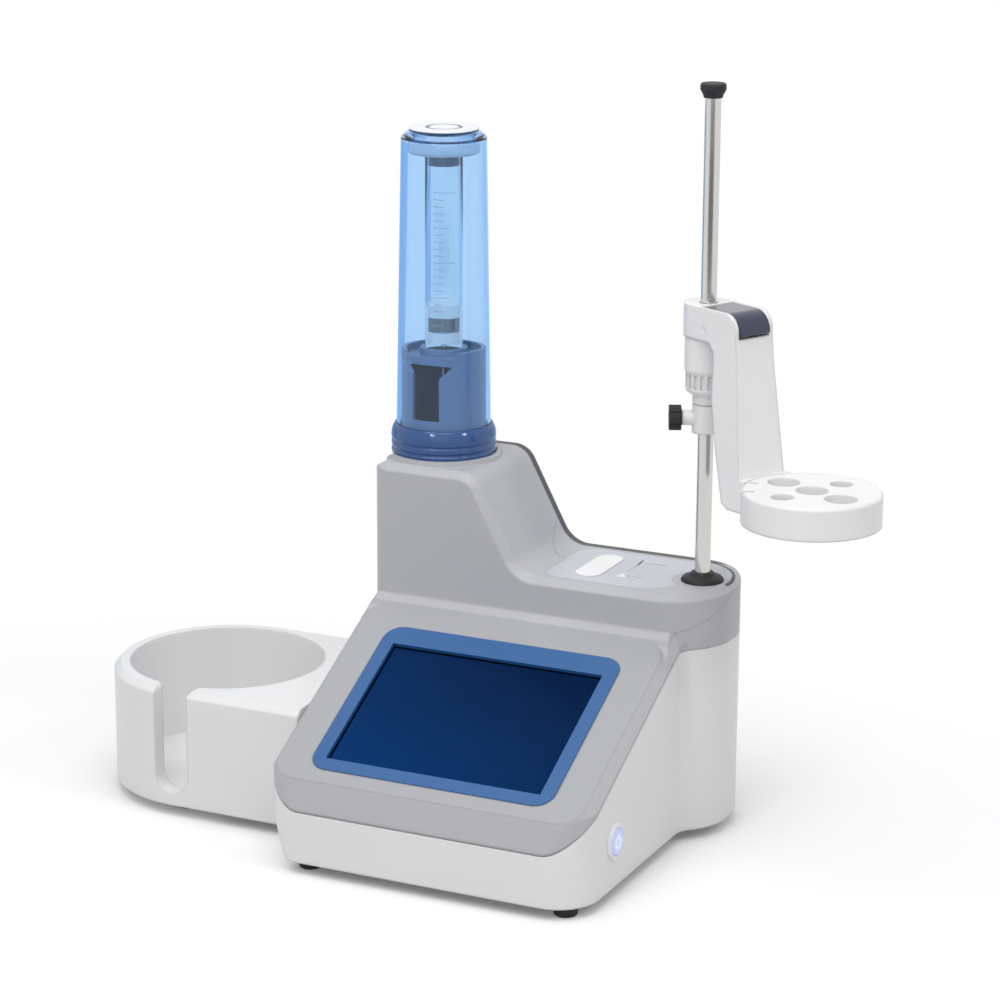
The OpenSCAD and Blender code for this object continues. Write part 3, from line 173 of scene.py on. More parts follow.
class TitratorStage(bpy.types.PropertyGroup):
    """Camera and light of the studio"""

    eye: FloatVectorProperty(
        name="Camera", description="Place of the camera", default=(0.76388, -1.5677, 0.6786), unit="LENGTH"
    )
    azimuth: angle_property("Azimuth", "Camera's turn round the part", 25.43)
    elevation: angle_property("Elevation", "Camera's height angle", 15.39)
    roll: angle_property("Roll", "Camera's roll", 0.29)
    lens: FloatProperty(name="Lens", description="Focal length in millimetres", default=114.55, unit="CAMERA")
    sky: FloatProperty(name="Sky", description="Light from all round", default=0.54, min=0)
    floor_white: FloatProperty(
        name="Floor white", description="Share of plain white in the floor near the part",
        default=0.10, min=0, max=1
    )
    key: FloatProperty(name="Key lamp", description="Power of the lamp overhead", default=17.5, min=0)
    fill: FloatProperty(name="Fill lamp", description="Power of the lamp at the front", default=3.6, min=0)
    small: FloatProperty(name="Small lamps", description="Power of the small lamps", default=3.0, min=0)


# Shader tools


class Wire:
    """A socket of a finish that Python's operators work on."""

    def __init__(self, finish, socket):
        self.finish = finish
        self.socket = socket

    def work(self, operation, *values):
        return self.finish.node("ShaderNodeMath", {"operation": operation}, dict(enumerate(values)))

    def __add__(self, other):
        return self.work("ADD", self, other)

    def __radd__(self, other):
        return self.work("ADD", other, self)

    def __sub__(self, other):
        return self.work("SUBTRACT", self, other)

    def __rsub__(self, other):
        return self.work("SUBTRACT", other, self)

    def __mul__(self, other):
        return self.work("MULTIPLY", self, other)

    def __rmul__(self, other):
        return self.work("MULTIPLY", other, self)

    def __truediv__(self, other):
        return self.work("DIVIDE", self, other)

    def __pow__(self, other):
        return self.work("POWER", self, other)

    def __abs__(self):
        return self.work("ABSOLUTE", self)

    def below(self, other):
        return self.work("LESS_THAN", self, other)

    def at_most(self, other):
        return self.work("MINIMUM", self, other)

    def at_least(self, other):
        return self.work("MAXIMUM", self, other)

    def clamped(self):
        return self.at_least(0.0).at_most(1.0)


class NodeWork:
    """The nodes of a material or of the world, under construction."""

    def __init__(self, owner, output):
        owner.use_nodes = True
        self.tree = owner.node_tree
        self.tree.nodes.clear()
        self.output = self.tree.nodes.new(output)

    def feed(self, socket, value):
        if isinstance(value, Wire):
            self.tree.links.new(value.socket, socket)
        elif socket.type == "RGBA" and len(value) == 3:
            socket.default_value = (*value, 1.0)
        else:
            socket.default_value = value

    def node(self, kind, settings=None, sockets=None, out=0):
        made = self.tree.nodes.new(kind)
        for key, value in (settings or {}).items():
            setattr(made, key, value)
        for key, value in (sockets or {}).items():
            self.feed(made.inputs[key], value)
        return Wire(self, made.outputs[out])

    def show(self, shader, output="Surface"):
        self.tree.links.new(shader.socket, self.output.inputs[output])

    def place(self):
        return self.node("ShaderNodeTexCoord", out="Object")

    def axes(self):
        split = self.node("ShaderNodeSeparateXYZ", None, {0: self.place()}).socket.node
        return [Wire(self, split.outputs[i]) for i in range(3)]

    def seen(self):
        """1 for rays that show the background as white."""
        path = self.node("ShaderNodeLightPath").socket.node
        kinds = ("Is Camera Ray", "Is Glossy Ray", "Is Transmission Ray")
        camera, glossy, through = [Wire(self, path.outputs[kind]) for kind in kinds]
        return camera.at_least(glossy).at_least(through)


class Finish(NodeWork):
    """A material under construction."""

    def __init__(self, name):
        self.material = bpy.data.materials.new(name)
        super().__init__(self.material, "ShaderNodeOutputMaterial")

    def stretched(self, scale):
        return self.node("ShaderNodeMapping", None, {"Vector": self.place(), "Scale": scale})

    def noise(self, scale, detail=2.0, vector=None):
        return self.node(
            "ShaderNodeTexNoise", None, {"Vector": vector or self.place(), "Scale": scale, "Detail": detail}
        )

    def mix(self, factor, first, second):
        return self.node("ShaderNodeMix", {"data_type": "RGBA"}, {0: factor, 6: first, 7: second}, out=2)

    def bump(self, height, strength, distance, soft=0.0):
        sockets = {"Height": height, "Strength": strength, "Distance": distance}
        if soft:
            sockets["Normal"] = self.node("ShaderNodeBevel", {"samples": 6}, {"Radius": soft})
        return self.node("ShaderNodeBump", None, sockets)

    def surface(self, sockets):
        self.show(self.node("ShaderNodeBsdfPrincipled", None, sockets))

    def volume(self, colour, density):
        absorption = self.node("ShaderNodeVolumeAbsorption", None, {"Color": colour, "Density": density})
        self.show(absorption, "Volume")

    def emission(self, colour):
        return self.node("ShaderNodeEmission", None, {"Color": colour, "Strength": 1.0})

    def diffuse(self, colour):
        return self.node("ShaderNodeBsdfDiffuse", None, {"Color": colour})

    def blend(self, factor, first, second):
        return self.node("ShaderNodeMixShader", None, {0: factor, 1: first, 2: second})


def shade(colour, share):
    return tuple(min(1.0, c * share) for c in colour)


def moulded(name, colour, rough=0.40, grain=0.10, coat=0.0, soft=0.0, painted_shade=None):
    """Moulded plastic: a fine eroded grain, a slow drift of tone and a darker tint towards the bottom.

    Soft is the radius that the edges catch the light with. Patch gives the places where shade is painted, as
    a darker tint.
    """
    f = Finish(name)
    drift = f.noise(14.0, 2.0)
    fine = f.noise(1500.0, 3.0)
    specks = f.noise(5200.0, 1.0)
    tint = f.mix(drift, shade(colour, 0.965), shade(colour, 1.03))
    # Darker towards the bottom, below the height set at the top of the script
    low_darkening = (LOW_DARKENING_TOP - f.axes()[2]).clamped() * 8.0
    # Painted shade: the colour turns darker on the given places
    if painted_shade:
        tint = f.mix(painted_shade(f), tint, shade(colour, 0.83))
    f.surface({
        "Base Color": f.mix(low_darkening.clamped(), tint, shade(colour, 0.82)),
        "Roughness": (drift - 0.5) * 0.08 + (fine - 0.5) * 0.16 + rough,
        "Normal": f.bump(fine * 0.7 + specks * 0.3, grain, 0.12 * MM, soft),
        "Coat Weight": coat,
        "Coat Roughness": 0.2,
    })
    return f.material


def rubber(name, colour):
    """Dull rubber with a pale bloom in patches."""
    f = Finish(name)
    bloom = f.noise(60.0, 4.0)
    pores = f.noise(2600.0, 2.0)
    f.surface({
        "Base Color": f.mix(bloom, shade(colour, 0.8), shade(colour, 1.9)),
        "Roughness": bloom * 0.2 + 0.48,
        "Normal": f.bump(pores, 0.18, 0.1 * MM),
        "Specular IOR Level": 0.35,
    })
    return f.material


def metal(name, colour, rough):
    """Drawn or turned metal with fine lines along it."""
    f = Finish(name)
    lines = f.noise(4.0, 3.0, f.stretched(DRAWN_LINES))
    cloud = f.noise(30.0, 2.0)
    f.surface({
        "Base Color": f.mix(lines, shade(colour, 0.86), shade(colour, 1.08)),
        "Metallic": 1.0,
        "Roughness": (lines - 0.5) * 0.10 + (cloud - 0.5) * 0.06 + rough,
        "Normal": f.bump(lines, 0.05, 0.05 * MM),
    })
    return f.material


def clear(name, tint, rough, index, absorb=None, density=0.0, waves=0.02):
    """Clear moulded plastic or glass with faint flow lines."""
    f = Finish(name)
    flow = f.noise(3.0, 2.0, f.stretched(FLOW_LINES))
    haze = f.noise(90.0, 3.0)
    f.surface({
        "Base Color": f.mix(flow, shade(tint, 0.97), shade(tint, 1.02)),
        "Roughness": (haze - 0.5) * 0.02 + rough,
        "Normal": f.bump(flow, waves, 0.2 * MM),
        "Transmission Weight": 1.0,
        "IOR": index,
    })
    if absorb:
        f.volume(absorb, density)
    return f.material


def milky(name, colour, rough, through):
    """Plastic that lets some light through."""
    f = Finish(name)
    cloud = f.noise(120.0, 3.0)
    f.surface({
        "Base Color": f.mix(cloud, shade(colour, 0.94), shade(colour, 1.05)),
        "Roughness": (cloud - 0.5) * 0.08 + rough,
        "Normal": f.bump(f.noise(1400.0, 2.0), 0.04, 0.1 * MM),
        "Transmission Weight": through,
        "IOR": 1.45,
    })
    return f.material


def printed(name, colour):
    """Printing ink with a slightly broken cover."""
    f = Finish(name)
    f.surface({
        "Base Color": f.mix(f.noise(2400.0, 2.0), shade(colour, 0.88), shade(colour, 1.08)),
        "Roughness": f.noise(700.0, 2.0) * 0.2 + 0.45,
    })
    return f.material


# Mesh tools


def soften(points, radius, steps=4):
    """Rounds the corners of a closed outline."""
    made = []
    for i, corner in enumerate(points):
        p, a, b = (Vector(q) for q in (corner, points[i - 1], points[(i + 1) % len(points)]))
        if (a - p).length < 1e-9 or (b - p).length < 1e-9 or p.x < NO_RADIUS:
            made.append(tuple(p))
            continue
        reach = min(radius, 0.45 * (a - p).length, 0.45 * (b - p).length)
        first, last = p + (a - p).normalized() * reach, p + (b - p).normalized() * reach
        for s in range(steps + 1):
            t = s / steps
            made.append(tuple(first * (1 - t) ** 2 + p * 2 * t * (1 - t) + last * t * t))
    return made


def to_mesh(name, made):
    mesh = bpy.data.meshes.new(name)
    made.to_mesh(mesh)
    made.free()
    return mesh


def linked(name, data):
    """A new object in the scene."""
    made = bpy.data.objects.new(name, data)
    bpy.context.scene.collection.objects.link(made)
    return made


def finish_mesh(name, made):
    bmesh.ops.recalc_face_normals(made, faces=made.faces)
    for face in made.faces:
        face.smooth = True
    mesh = to_mesh(name, made)
    mesh.set_sharp_from_angle(angle=SHARP)
    return mesh


def turned(name, outline, centre):
    """Turns a closed outline of (radius, height) round an upright axis."""
    made = bmesh.new()
    rings = []
    for radius, height in outline:
        count = 1 if radius < NO_RADIUS else TURN_STEPS
        angles = [2 * math.pi * i / TURN_STEPS for i in range(count)]
        rings.append([
            made.verts.new((centre.x + radius * math.cos(a), centre.y + radius * math.sin(a), height))
            for a in angles
        ])
    for i, ring in enumerate(rings):
        other = rings[(i + 1) % len(rings)]
        for s in range(TURN_STEPS):
            t = (s + 1) % TURN_STEPS
            corners = [ring[s % len(ring)], ring[t % len(ring)], other[t % len(other)], other[s % len(other)]]
            corners = list(dict.fromkeys(corners))
            if len(corners) > 2:
                made.faces.new(corners)
    return finish_mesh(name, made)


def slabs(name, outlines, place, thickness):
    """Thin flat shapes: each outline of (a, b) is put in place and thickened along the third axis."""
    made = bmesh.new()
    for outline in outlines:
        low = [made.verts.new(place @ Vector((a, b, 0.0))) for a, b in outline]
        high = [made.verts.new(place @ Vector((a, b, thickness))) for a, b in outline]
        made.faces.new(low)
        made.faces.new(high)
        for i in range(len(outline)):
            j = (i + 1) % len(outline)
            made.faces.new((low[i], low[j], high[j], high[i]))
    return finish_mesh(name, made)


def bar(start, end, width):
    """Outline of a straight stroke."""
    a, b = Vector(start), Vector(end)
    side = (b - a).normalized().orthogonal() * width / 2
    return [tuple(p) for p in (a - side, b - side, b + side, a + side)]


def ring_arc(radius, width, start, end, steps=32):
    """Outline of a curved stroke."""
    angles = [start + (end - start) * i / steps for i in range(steps + 1)]
    inner = [((radius - width / 2) * math.cos(a), (radius - width / 2) * math.sin(a)) for a in angles]
    outer = [((radius + width / 2) * math.cos(a), (radius + width / 2) * math.sin(a)) for a in angles]
    return inner + outer[::-1]


def hull(name, corners):
    """Closed solid round a few corners."""
    made = bmesh.new()
    for corner in corners:
        made.verts.new(corner)
    bmesh.ops.convex_hull(made, input=made.verts)
    bmesh.ops.recalc_face_normals(made, faces=made.faces)
    return to_mesh(name, made)


def carved(mesh, tools):
    """Mesh after cutting and filling with solids, given as (operation, mesh) in order."""
    block = linked("carved", mesh)
    helpers = []
    for operation, tool in tools:
        helpers.append(linked("tool", tool))
        step = block.modifiers.new(operation, "BOOLEAN")
        step.object = helpers[-1]
        step.operation = operation
        step.solver = "EXACT"
    ready = block.evaluated_get(bpy.context.evaluated_depsgraph_get())
    result = bpy.data.meshes.new_from_object(ready)
    for used in (block, *helpers):
        bpy.data.objects.remove(used)
    return result


def add_piece(name, mesh, body, finish, stands_for=()):
    piece = linked(name, mesh)
    mesh.materials.append(finish)
    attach(piece, body)
    if stands_for:
        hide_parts(*stands_for)
    return piece


def add_turned(name, outline, node, body, finish, stands_for=()):
    """Adds a piece turned round the upright axis of a solid."""
    return add_piece(name, turned(name, outline, middle(node)), body, finish, stands_for)


def add_staged(name, mesh, finish):
    """Adds a piece of the studio."""
    piece = linked(name, mesh)
    mesh.materials.append(finish)
    return piece


def round_edges(solid, edge):
    """Rounds the sharp edges by modifiers, so that the mesh stays as it is."""
    weld = solid.modifiers.new("joined corners", "WELD")
    weld.merge_threshold = JOINED
    flat = solid.modifiers.new("whole faces", "DECIMATE")
    flat.decimate_type = "DISSOLVE"
    flat.angle_limit = math.radians(0.3)
    rounded = solid.modifiers.new("rounded edges", "BEVEL")
    rounded.width = edge
    rounded.segments = 3
    rounded.limit_method = "ANGLE"
    rounded.angle_limit = math.radians(25)
    rounded.use_clamp_overlap = True
    even = solid.modifiers.new("even shading", "WEIGHTED_NORMAL")
    even.keep_sharp = False


def dress(names, finish, edge=0.0):
    """Gives solids their finish and, where asked, rounds their edges."""
    for name in names.split():
        solid = NODES[name]
        solid.data.materials.clear()
        solid.data.materials.append(finish)
        if edge:
            round_edges(solid, edge)


def settings():
    scene = bpy.context.scene
    return scene.titrator_colours, scene.titrator_sizes, scene.titrator_stage


# Pieces, one operator for each group


class TitratorOperator:
    bl_options = {"REGISTER", "UNDO"}

    def execute(self, context):
        self.build(*settings())
        return {"FINISHED"}


# Rounded corner of the wall behind the panel, in plan from the display's middle: its middle and radius, the
# place across where the panel's side band meets it, and the place along where the band's end is filled to
WallCorner = namedtuple("WallCorner", "middle radius touch end")


class TITRATOR_OT_housing(TitratorOperator, bpy.types.Operator):
    """Finish the two housings, the rear cover and the bottom"""

    bl_idname = "titrator.housing"
    bl_label = "Housing"

    # Left and right corner of the wall
    walls = {
        -1: WallCorner(Vector((-85.5, 88.0)) * MM, 14 * MM, -92.5 * MM, 87.5 * MM),
        1: WallCorner(Vector((80.0, 110.0)) * MM, 36 * MM, 94.5 * MM, 80.5 * MM),
    }
    # Face of the raised panel where shade is painted, darker to take off the light its upward slope catches:
    # half its depth, and the fade at its edge
    painted_shade_depth = 0.35 * MM
    painted_shade_fade = 0.2 * MM
    # Cut over the side band: its reach inside the panel and past the base, its front, and its lift and height
    cut_inset = 6.5 * MM
    cut_past = 0.1 * MM
    cut_front = 55 * MM
    cut_lift = 0.02 * MM
    cut_height = 60 * MM
    # Fill of the band's end: its reach inside the panel, its front, where it turns level, and its foot
    fill_inset = 1.5 * MM
    fill_front = 76 * MM
    fill_level = 80 * MM
    fill_foot = 116.2 * MM

    def build(self, colours, sizes, stage):
        soft = sizes.soft_edge
        dress("lower_housing", moulded("white housing", colours.white, rough=0.36, soft=soft), sizes.edge)

        def panel(f):
            """1 on the raised panel's flat face, where shade is painted."""
            y, z = f.axes()[1:]
            along = (y - sizes.slope_origin[1]) * math.sin(sizes.tilt)
            rise = (z - sizes.slope_z) * math.cos(sizes.tilt) - along
            return 1.0 - ((abs(rise - sizes.panel_d) - self.painted_shade_depth) / self.painted_shade_fade).clamped()

        # The grey is painted darker on the raised panel: painted shade for the extra light its upward slope
        # catches
        grey = moulded("grey housing", colours.grey, rough=0.42, grain=0.14, soft=soft, painted_shade=panel)
        mesh = self.shell(sizes)
        shell = add_piece("upper_shell", mesh, "housing", grey, ["upper_housing"])
        round_edges(shell, 1.6 * sizes.edge)
        dark = moulded("dark plastic", colours.dark, rough=0.5, grain=0.2)
        dress("rear_cover bottom_plate", dark, sizes.fine_edge)
        dress("feet", rubber("rubber feet", colours.rubber), sizes.edge)
        dress("bottom_screws rear_screws", metal("screw steel", shade(colours.steel, 0.8), 0.3))

    def shell(self, sizes):
        """Upper housing whose strip over the panel ends in the panel's side bands."""
        made = bmesh.new()
        made.from_mesh(NODES["upper_housing"].data)
        bmesh.ops.remove_doubles(made, verts=made.verts, dist=JOINED)
        tools = []
        for side, wall in self.walls.items():
            tools.append(("DIFFERENCE", hull("strip_cut", self.above_band(sizes, side, wall))))
            tools.append(("UNION", hull("strip_end", self.corner_fill(sizes, side, wall))))
        return carved(to_mesh("upper_shell", made), tools)

    def band_z(self, sizes, across, along):
        """Height of the panel's side band, carried on to the wall."""
        off = sizes.panel_d - (abs(across) - sizes.panel_half) * sizes.band_slope
        return sizes.slope_z + (off + along * math.sin(sizes.tilt)) / math.cos(sizes.tilt)

    def upright(self, sizes, across, along, low, high):
        """Lower and upper end of an upright line."""
        x, y = across + sizes.slope_origin[0], along + sizes.slope_origin[1]
        return [(x, y, low), (x, y, high)]

    def above_band(self, sizes, side, wall):
        """Corners of the room over the band, back to the line that touches the wall's round corner."""
        reach = wall.touch - wall.middle.x
        normal = Vector((reach, -math.sqrt(wall.radius ** 2 - reach ** 2))) / wall.radius
        corners = []
        for across in (side * (sizes.panel_half - self.cut_inset), side * (sizes.base_half + self.cut_past)):
            back = wall.middle.y + (wall.radius - normal.x * (across - wall.middle.x)) / normal.y
            for along in (self.cut_front, back):
                z = self.band_z(sizes, across, along) + self.cut_lift
                corners += self.upright(sizes, across, along, z, z + self.cut_height)
        return corners

    def corner_fill(self, sizes, side, wall):
        """Corners of the solid that carries the band on to the wall."""
        corners = []
        for across in (side * (sizes.panel_half - self.fill_inset), side * sizes.base_half):
            for along in (self.fill_front, wall.end):
                z = min(sizes.ledge_z, self.band_z(sizes, across, min(along, self.fill_level)))
                corners += self.upright(sizes, across, along, self.fill_foot, z)
        return corners


class TITRATOR_OT_display(TitratorOperator, bpy.types.Operator):
    """Finish the display, its frame and what is behind it"""

    bl_idname = "titrator.display"
    bl_label = "Display"

    def build(self, colours, sizes, stage):
        blue = moulded("blue frame", colours.frame_blue, rough=0.38, grain=0.08)
        dress("display_frame", blue, sizes.fine_edge)
        dress("display_glass", self.screen(colours, sizes))
        dress("display_module", moulded("display case", colours.dark, rough=0.5))
        dress("display_board main_board", self.board())
        dress("board_spacers", metal("spacer brass", (0.70, 0.52, 0.22), 0.3))

    def screen(self, colours, sizes):
        """Lit screen behind dark glass, with a dark margin and no writing."""
        f = Finish("touch display")
        centre = middle("display_glass")
        tilt = sizes.tilt
        x, y, z = f.axes()
        across = (x - centre.x) / (sizes.screen_w / 2)
        up = ((y - centre.y) * math.cos(tilt) + (z - centre.z) * math.sin(tilt)) / (sizes.screen_h / 2)
        lit = abs(across).below(1.0) * abs(up).below(1.0)
        slope = (across * -0.22 - up * 0.30 + 0.42).clamped()
        wave = f.noise(2.2, 2.0, f.stretched((6.0, 30.0, 30.0)))
        glow = f.mix((slope + (wave - 0.5) * 0.35).clamped(), colours.screen_deep, colours.screen_light)
        f.surface({
            "Base Color": (0.0005, 0.001, 0.002),
            "Roughness": f.noise(40.0, 3.0) * 0.06 + 0.05,
            "Specular IOR Level": 0.015,
            "Emission Color": f.mix(lit, (0.0004, 0.0006, 0.0014), glow),
            "Emission Strength": 1.0,
        })
        return f.material

    def board(self):
        f = Finish("circuit board")
        tracks = f.node("ShaderNodeTexBrick", None, {
            "Vector": f.place(),
            "Scale": 90.0,
            "Color1": (0.01, 0.10, 0.04),
            "Color2": (0.012, 0.13, 0.05),
            "Mortar": (0.04, 0.20, 0.09),
        })
        f.surface({"Base Color": tracks, "Roughness": f.noise(200.0) * 0.2 + 0.3})
        return f.material


class TITRATOR_OT_deck(TitratorOperator, bpy.types.Operator):
    """Finish the film and the pad on the deck and print their plain marks"""

    bl_idname = "titrator.deck"
    bl_label = "Deck"

    def build(self, colours, sizes, stage):
        dress("deck_overlay", moulded("deck film", colours.overlay, rough=0.34, grain=0.05))
        dress("deck_pad", moulded("white pad", (0.90, 0.90, 0.91), rough=0.3, grain=0.04), sizes.fine_edge)
        self.marks(sizes)

    def marks(self, sizes):
        """A plain probe, a drop and two rules beside the pad, in millimetres from its middle."""
        pad = middle("deck_pad")
        film = Matrix.Translation((0.0, 0.0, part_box("deck_overlay")[1].z))

        def placed(points):
            return [(pad.x + a * MM, pad.y + b * MM) for a, b in points]

        def stroke(start, end, width):
            return bar(*placed((start, end)), width * MM)

        probe = [stroke((19.0, -4.0), (19.6, 11.0), 1.0)]
        tip = [stroke((19.6, 11.0), (18.6, 21.5), 1.3)]
        rules = [stroke((22.0, 16.5), (35.0, 18.0), 0.6), stroke((22.5, -11.3), (32.5, -11.3), 0.5)]
        drop = [placed(((16.5, -15.0), (23.0, -15.0), (18.5, -7.0)))]
        for name, shape, colour in (
            ("deck_mark_probe", probe, (0.40, 0.52, 0.68)),
            ("deck_mark_tip", tip, (0.11, 0.12, 0.16)),
            ("deck_mark_rules", rules, (0.32, 0.33, 0.40)),
            ("deck_mark_drop", drop, (0.88, 0.89, 0.91)),
        ):
            ink = printed(name.replace("_", " ") + " ink", colour)
            add_piece(name, slabs(name, shape, film, sizes.mark_t), "housing", ink)


class TITRATOR_OT_holder(TitratorOperator, bpy.types.Operator):
    """Finish the bottle holder"""

    bl_idname = "titrator.holder"
    bl_label = "Bottle holder"

    def build(self, colours, sizes, stage):
        # The holder's white is a slightly lighter copy of the housing white: painted light
        white = moulded("white holder", shade(colours.white, 1.01), rough=0.34, soft=sizes.soft_edge)
        dress("bottle_holder", white, 2.5 * sizes.edge)
        dress("holder_screws", metal("holder screw steel", shade(colours.steel, 0.8), 0.3))


class TITRATOR_OT_button(TitratorOperator, bpy.types.Operator):
    """Finish the lit power button, its ring and its switch"""

    bl_idname = "titrator.button"
    bl_label = "Power button"

    # Radius of the glow, and the sign's ring, its gap and its bar
    glow_r = 7.6 * MM
    sign_r = 3.4 * MM
    sign_w = 0.8 * MM
    sign_gap = math.radians(35)
    sign_bar = (1.2 * MM, 4.4 * MM)

    def build(self, colours, sizes, stage):
        ring = moulded("button ring", (0.82, 0.83, 0.86), rough=0.22, grain=0.03)
        dress("button_bezel", ring, sizes.fine_edge)
        dress("power_button", self.lit(colours), sizes.fine_edge)
        dress("button_spring", metal("spring steel", colours.steel, 0.25))
        dress("power_switch", moulded("switch body", colours.dark, rough=0.5))
        self.sign(sizes)

    def sign(self, sizes):
        """Open ring and bar on the button's face."""
        centre = middle("power_button")
        face = Matrix.Translation((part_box("power_button")[1].x, centre.y, centre.z))
        face = face @ Matrix(((0, 0, 1), (1, 0, 0), (0, 1, 0))).to_4x4()
        sign = [
            ring_arc(self.sign_r, self.sign_w, math.pi / 2 + self.sign_gap, math.pi * 2.5 - self.sign_gap),
            bar(*[(0.0, end) for end in self.sign_bar], self.sign_w),
        ]
        f = Finish("button sign")
        f.surface({
            "Base Color": f.mix(f.noise(900.0), (0.85, 0.90, 1.0), (0.95, 0.97, 1.0)),
            "Roughness": 0.4,
            "Emission Color": (0.80, 0.88, 1.0),
            "Emission Strength": 0.32,
        })
        mesh = slabs("button_sign", sign, face, sizes.mark_t)
        add_piece("button_sign", mesh, "button", f.material)

    def lit(self, colours):
        f = Finish("lit button")
        centre = middle("power_button")
        y, z = f.axes()[1:]
        out = (((y - centre.y) ** 2.0 + (z - centre.z) ** 2.0) ** 0.5) / self.glow_r
        glow = f.mix((out * out).clamped(), (0.42, 0.52, 1.0), shade(colours.lamp, 0.75))
        f.surface({
            "Base Color": f.mix(f.noise(300.0), (0.50, 0.58, 0.80), (0.58, 0.66, 0.88)),
            "Roughness": f.noise(500.0) * 0.1 + 0.22,
            "Emission Color": glow,
            "Emission Strength": 0.30,
        })
        return f.material


class TITRATOR_OT_rod(TitratorOperator, bpy.types.Operator):
    """Finish the support rod, its cap, grommet and seat"""

    bl_idname = "titrator.rod"
    bl_label = "Support rod"

    def build(self, colours, sizes, stage):
        dress("support_rod", metal("rod steel", colours.steel, 0.17))
        dress("rod_socket", metal("socket steel", shade(colours.steel, 0.85), 0.32))
        dress("rod_cap rod_grommet", rubber("black rubber", colours.rubber))


class TITRATOR_OT_arm(TitratorOperator, bpy.types.Operator):
    """Finish the electrode arm, its disc, clamp and lever"""

    bl_idname = "titrator.arm"
    bl_label = "Electrode arm"

    def build(self, colours, sizes, stage):
        # The arm's white is a lighter copy of the housing white: painted light
        white = moulded("white arm", shade(colours.white, 1.06), rough=0.34, soft=sizes.soft_edge)
        dress("arm_beam", white, 3 * sizes.edge)
        dress("electrode_disc", white, 1.4 * sizes.edge)
        dress("stop_collar clamp_bush", white, sizes.fine_edge)
        dress("clamp_screw", rubber("black knob", colours.rubber), sizes.fine_edge)
        navy = moulded("navy lever", colours.navy, rough=0.26, grain=0.05, coat=0.5)
        dress("release_lever", navy, sizes.edge)
        dress("disc_screws lever_pin lever_spring", metal("arm steel", colours.steel, 0.28))


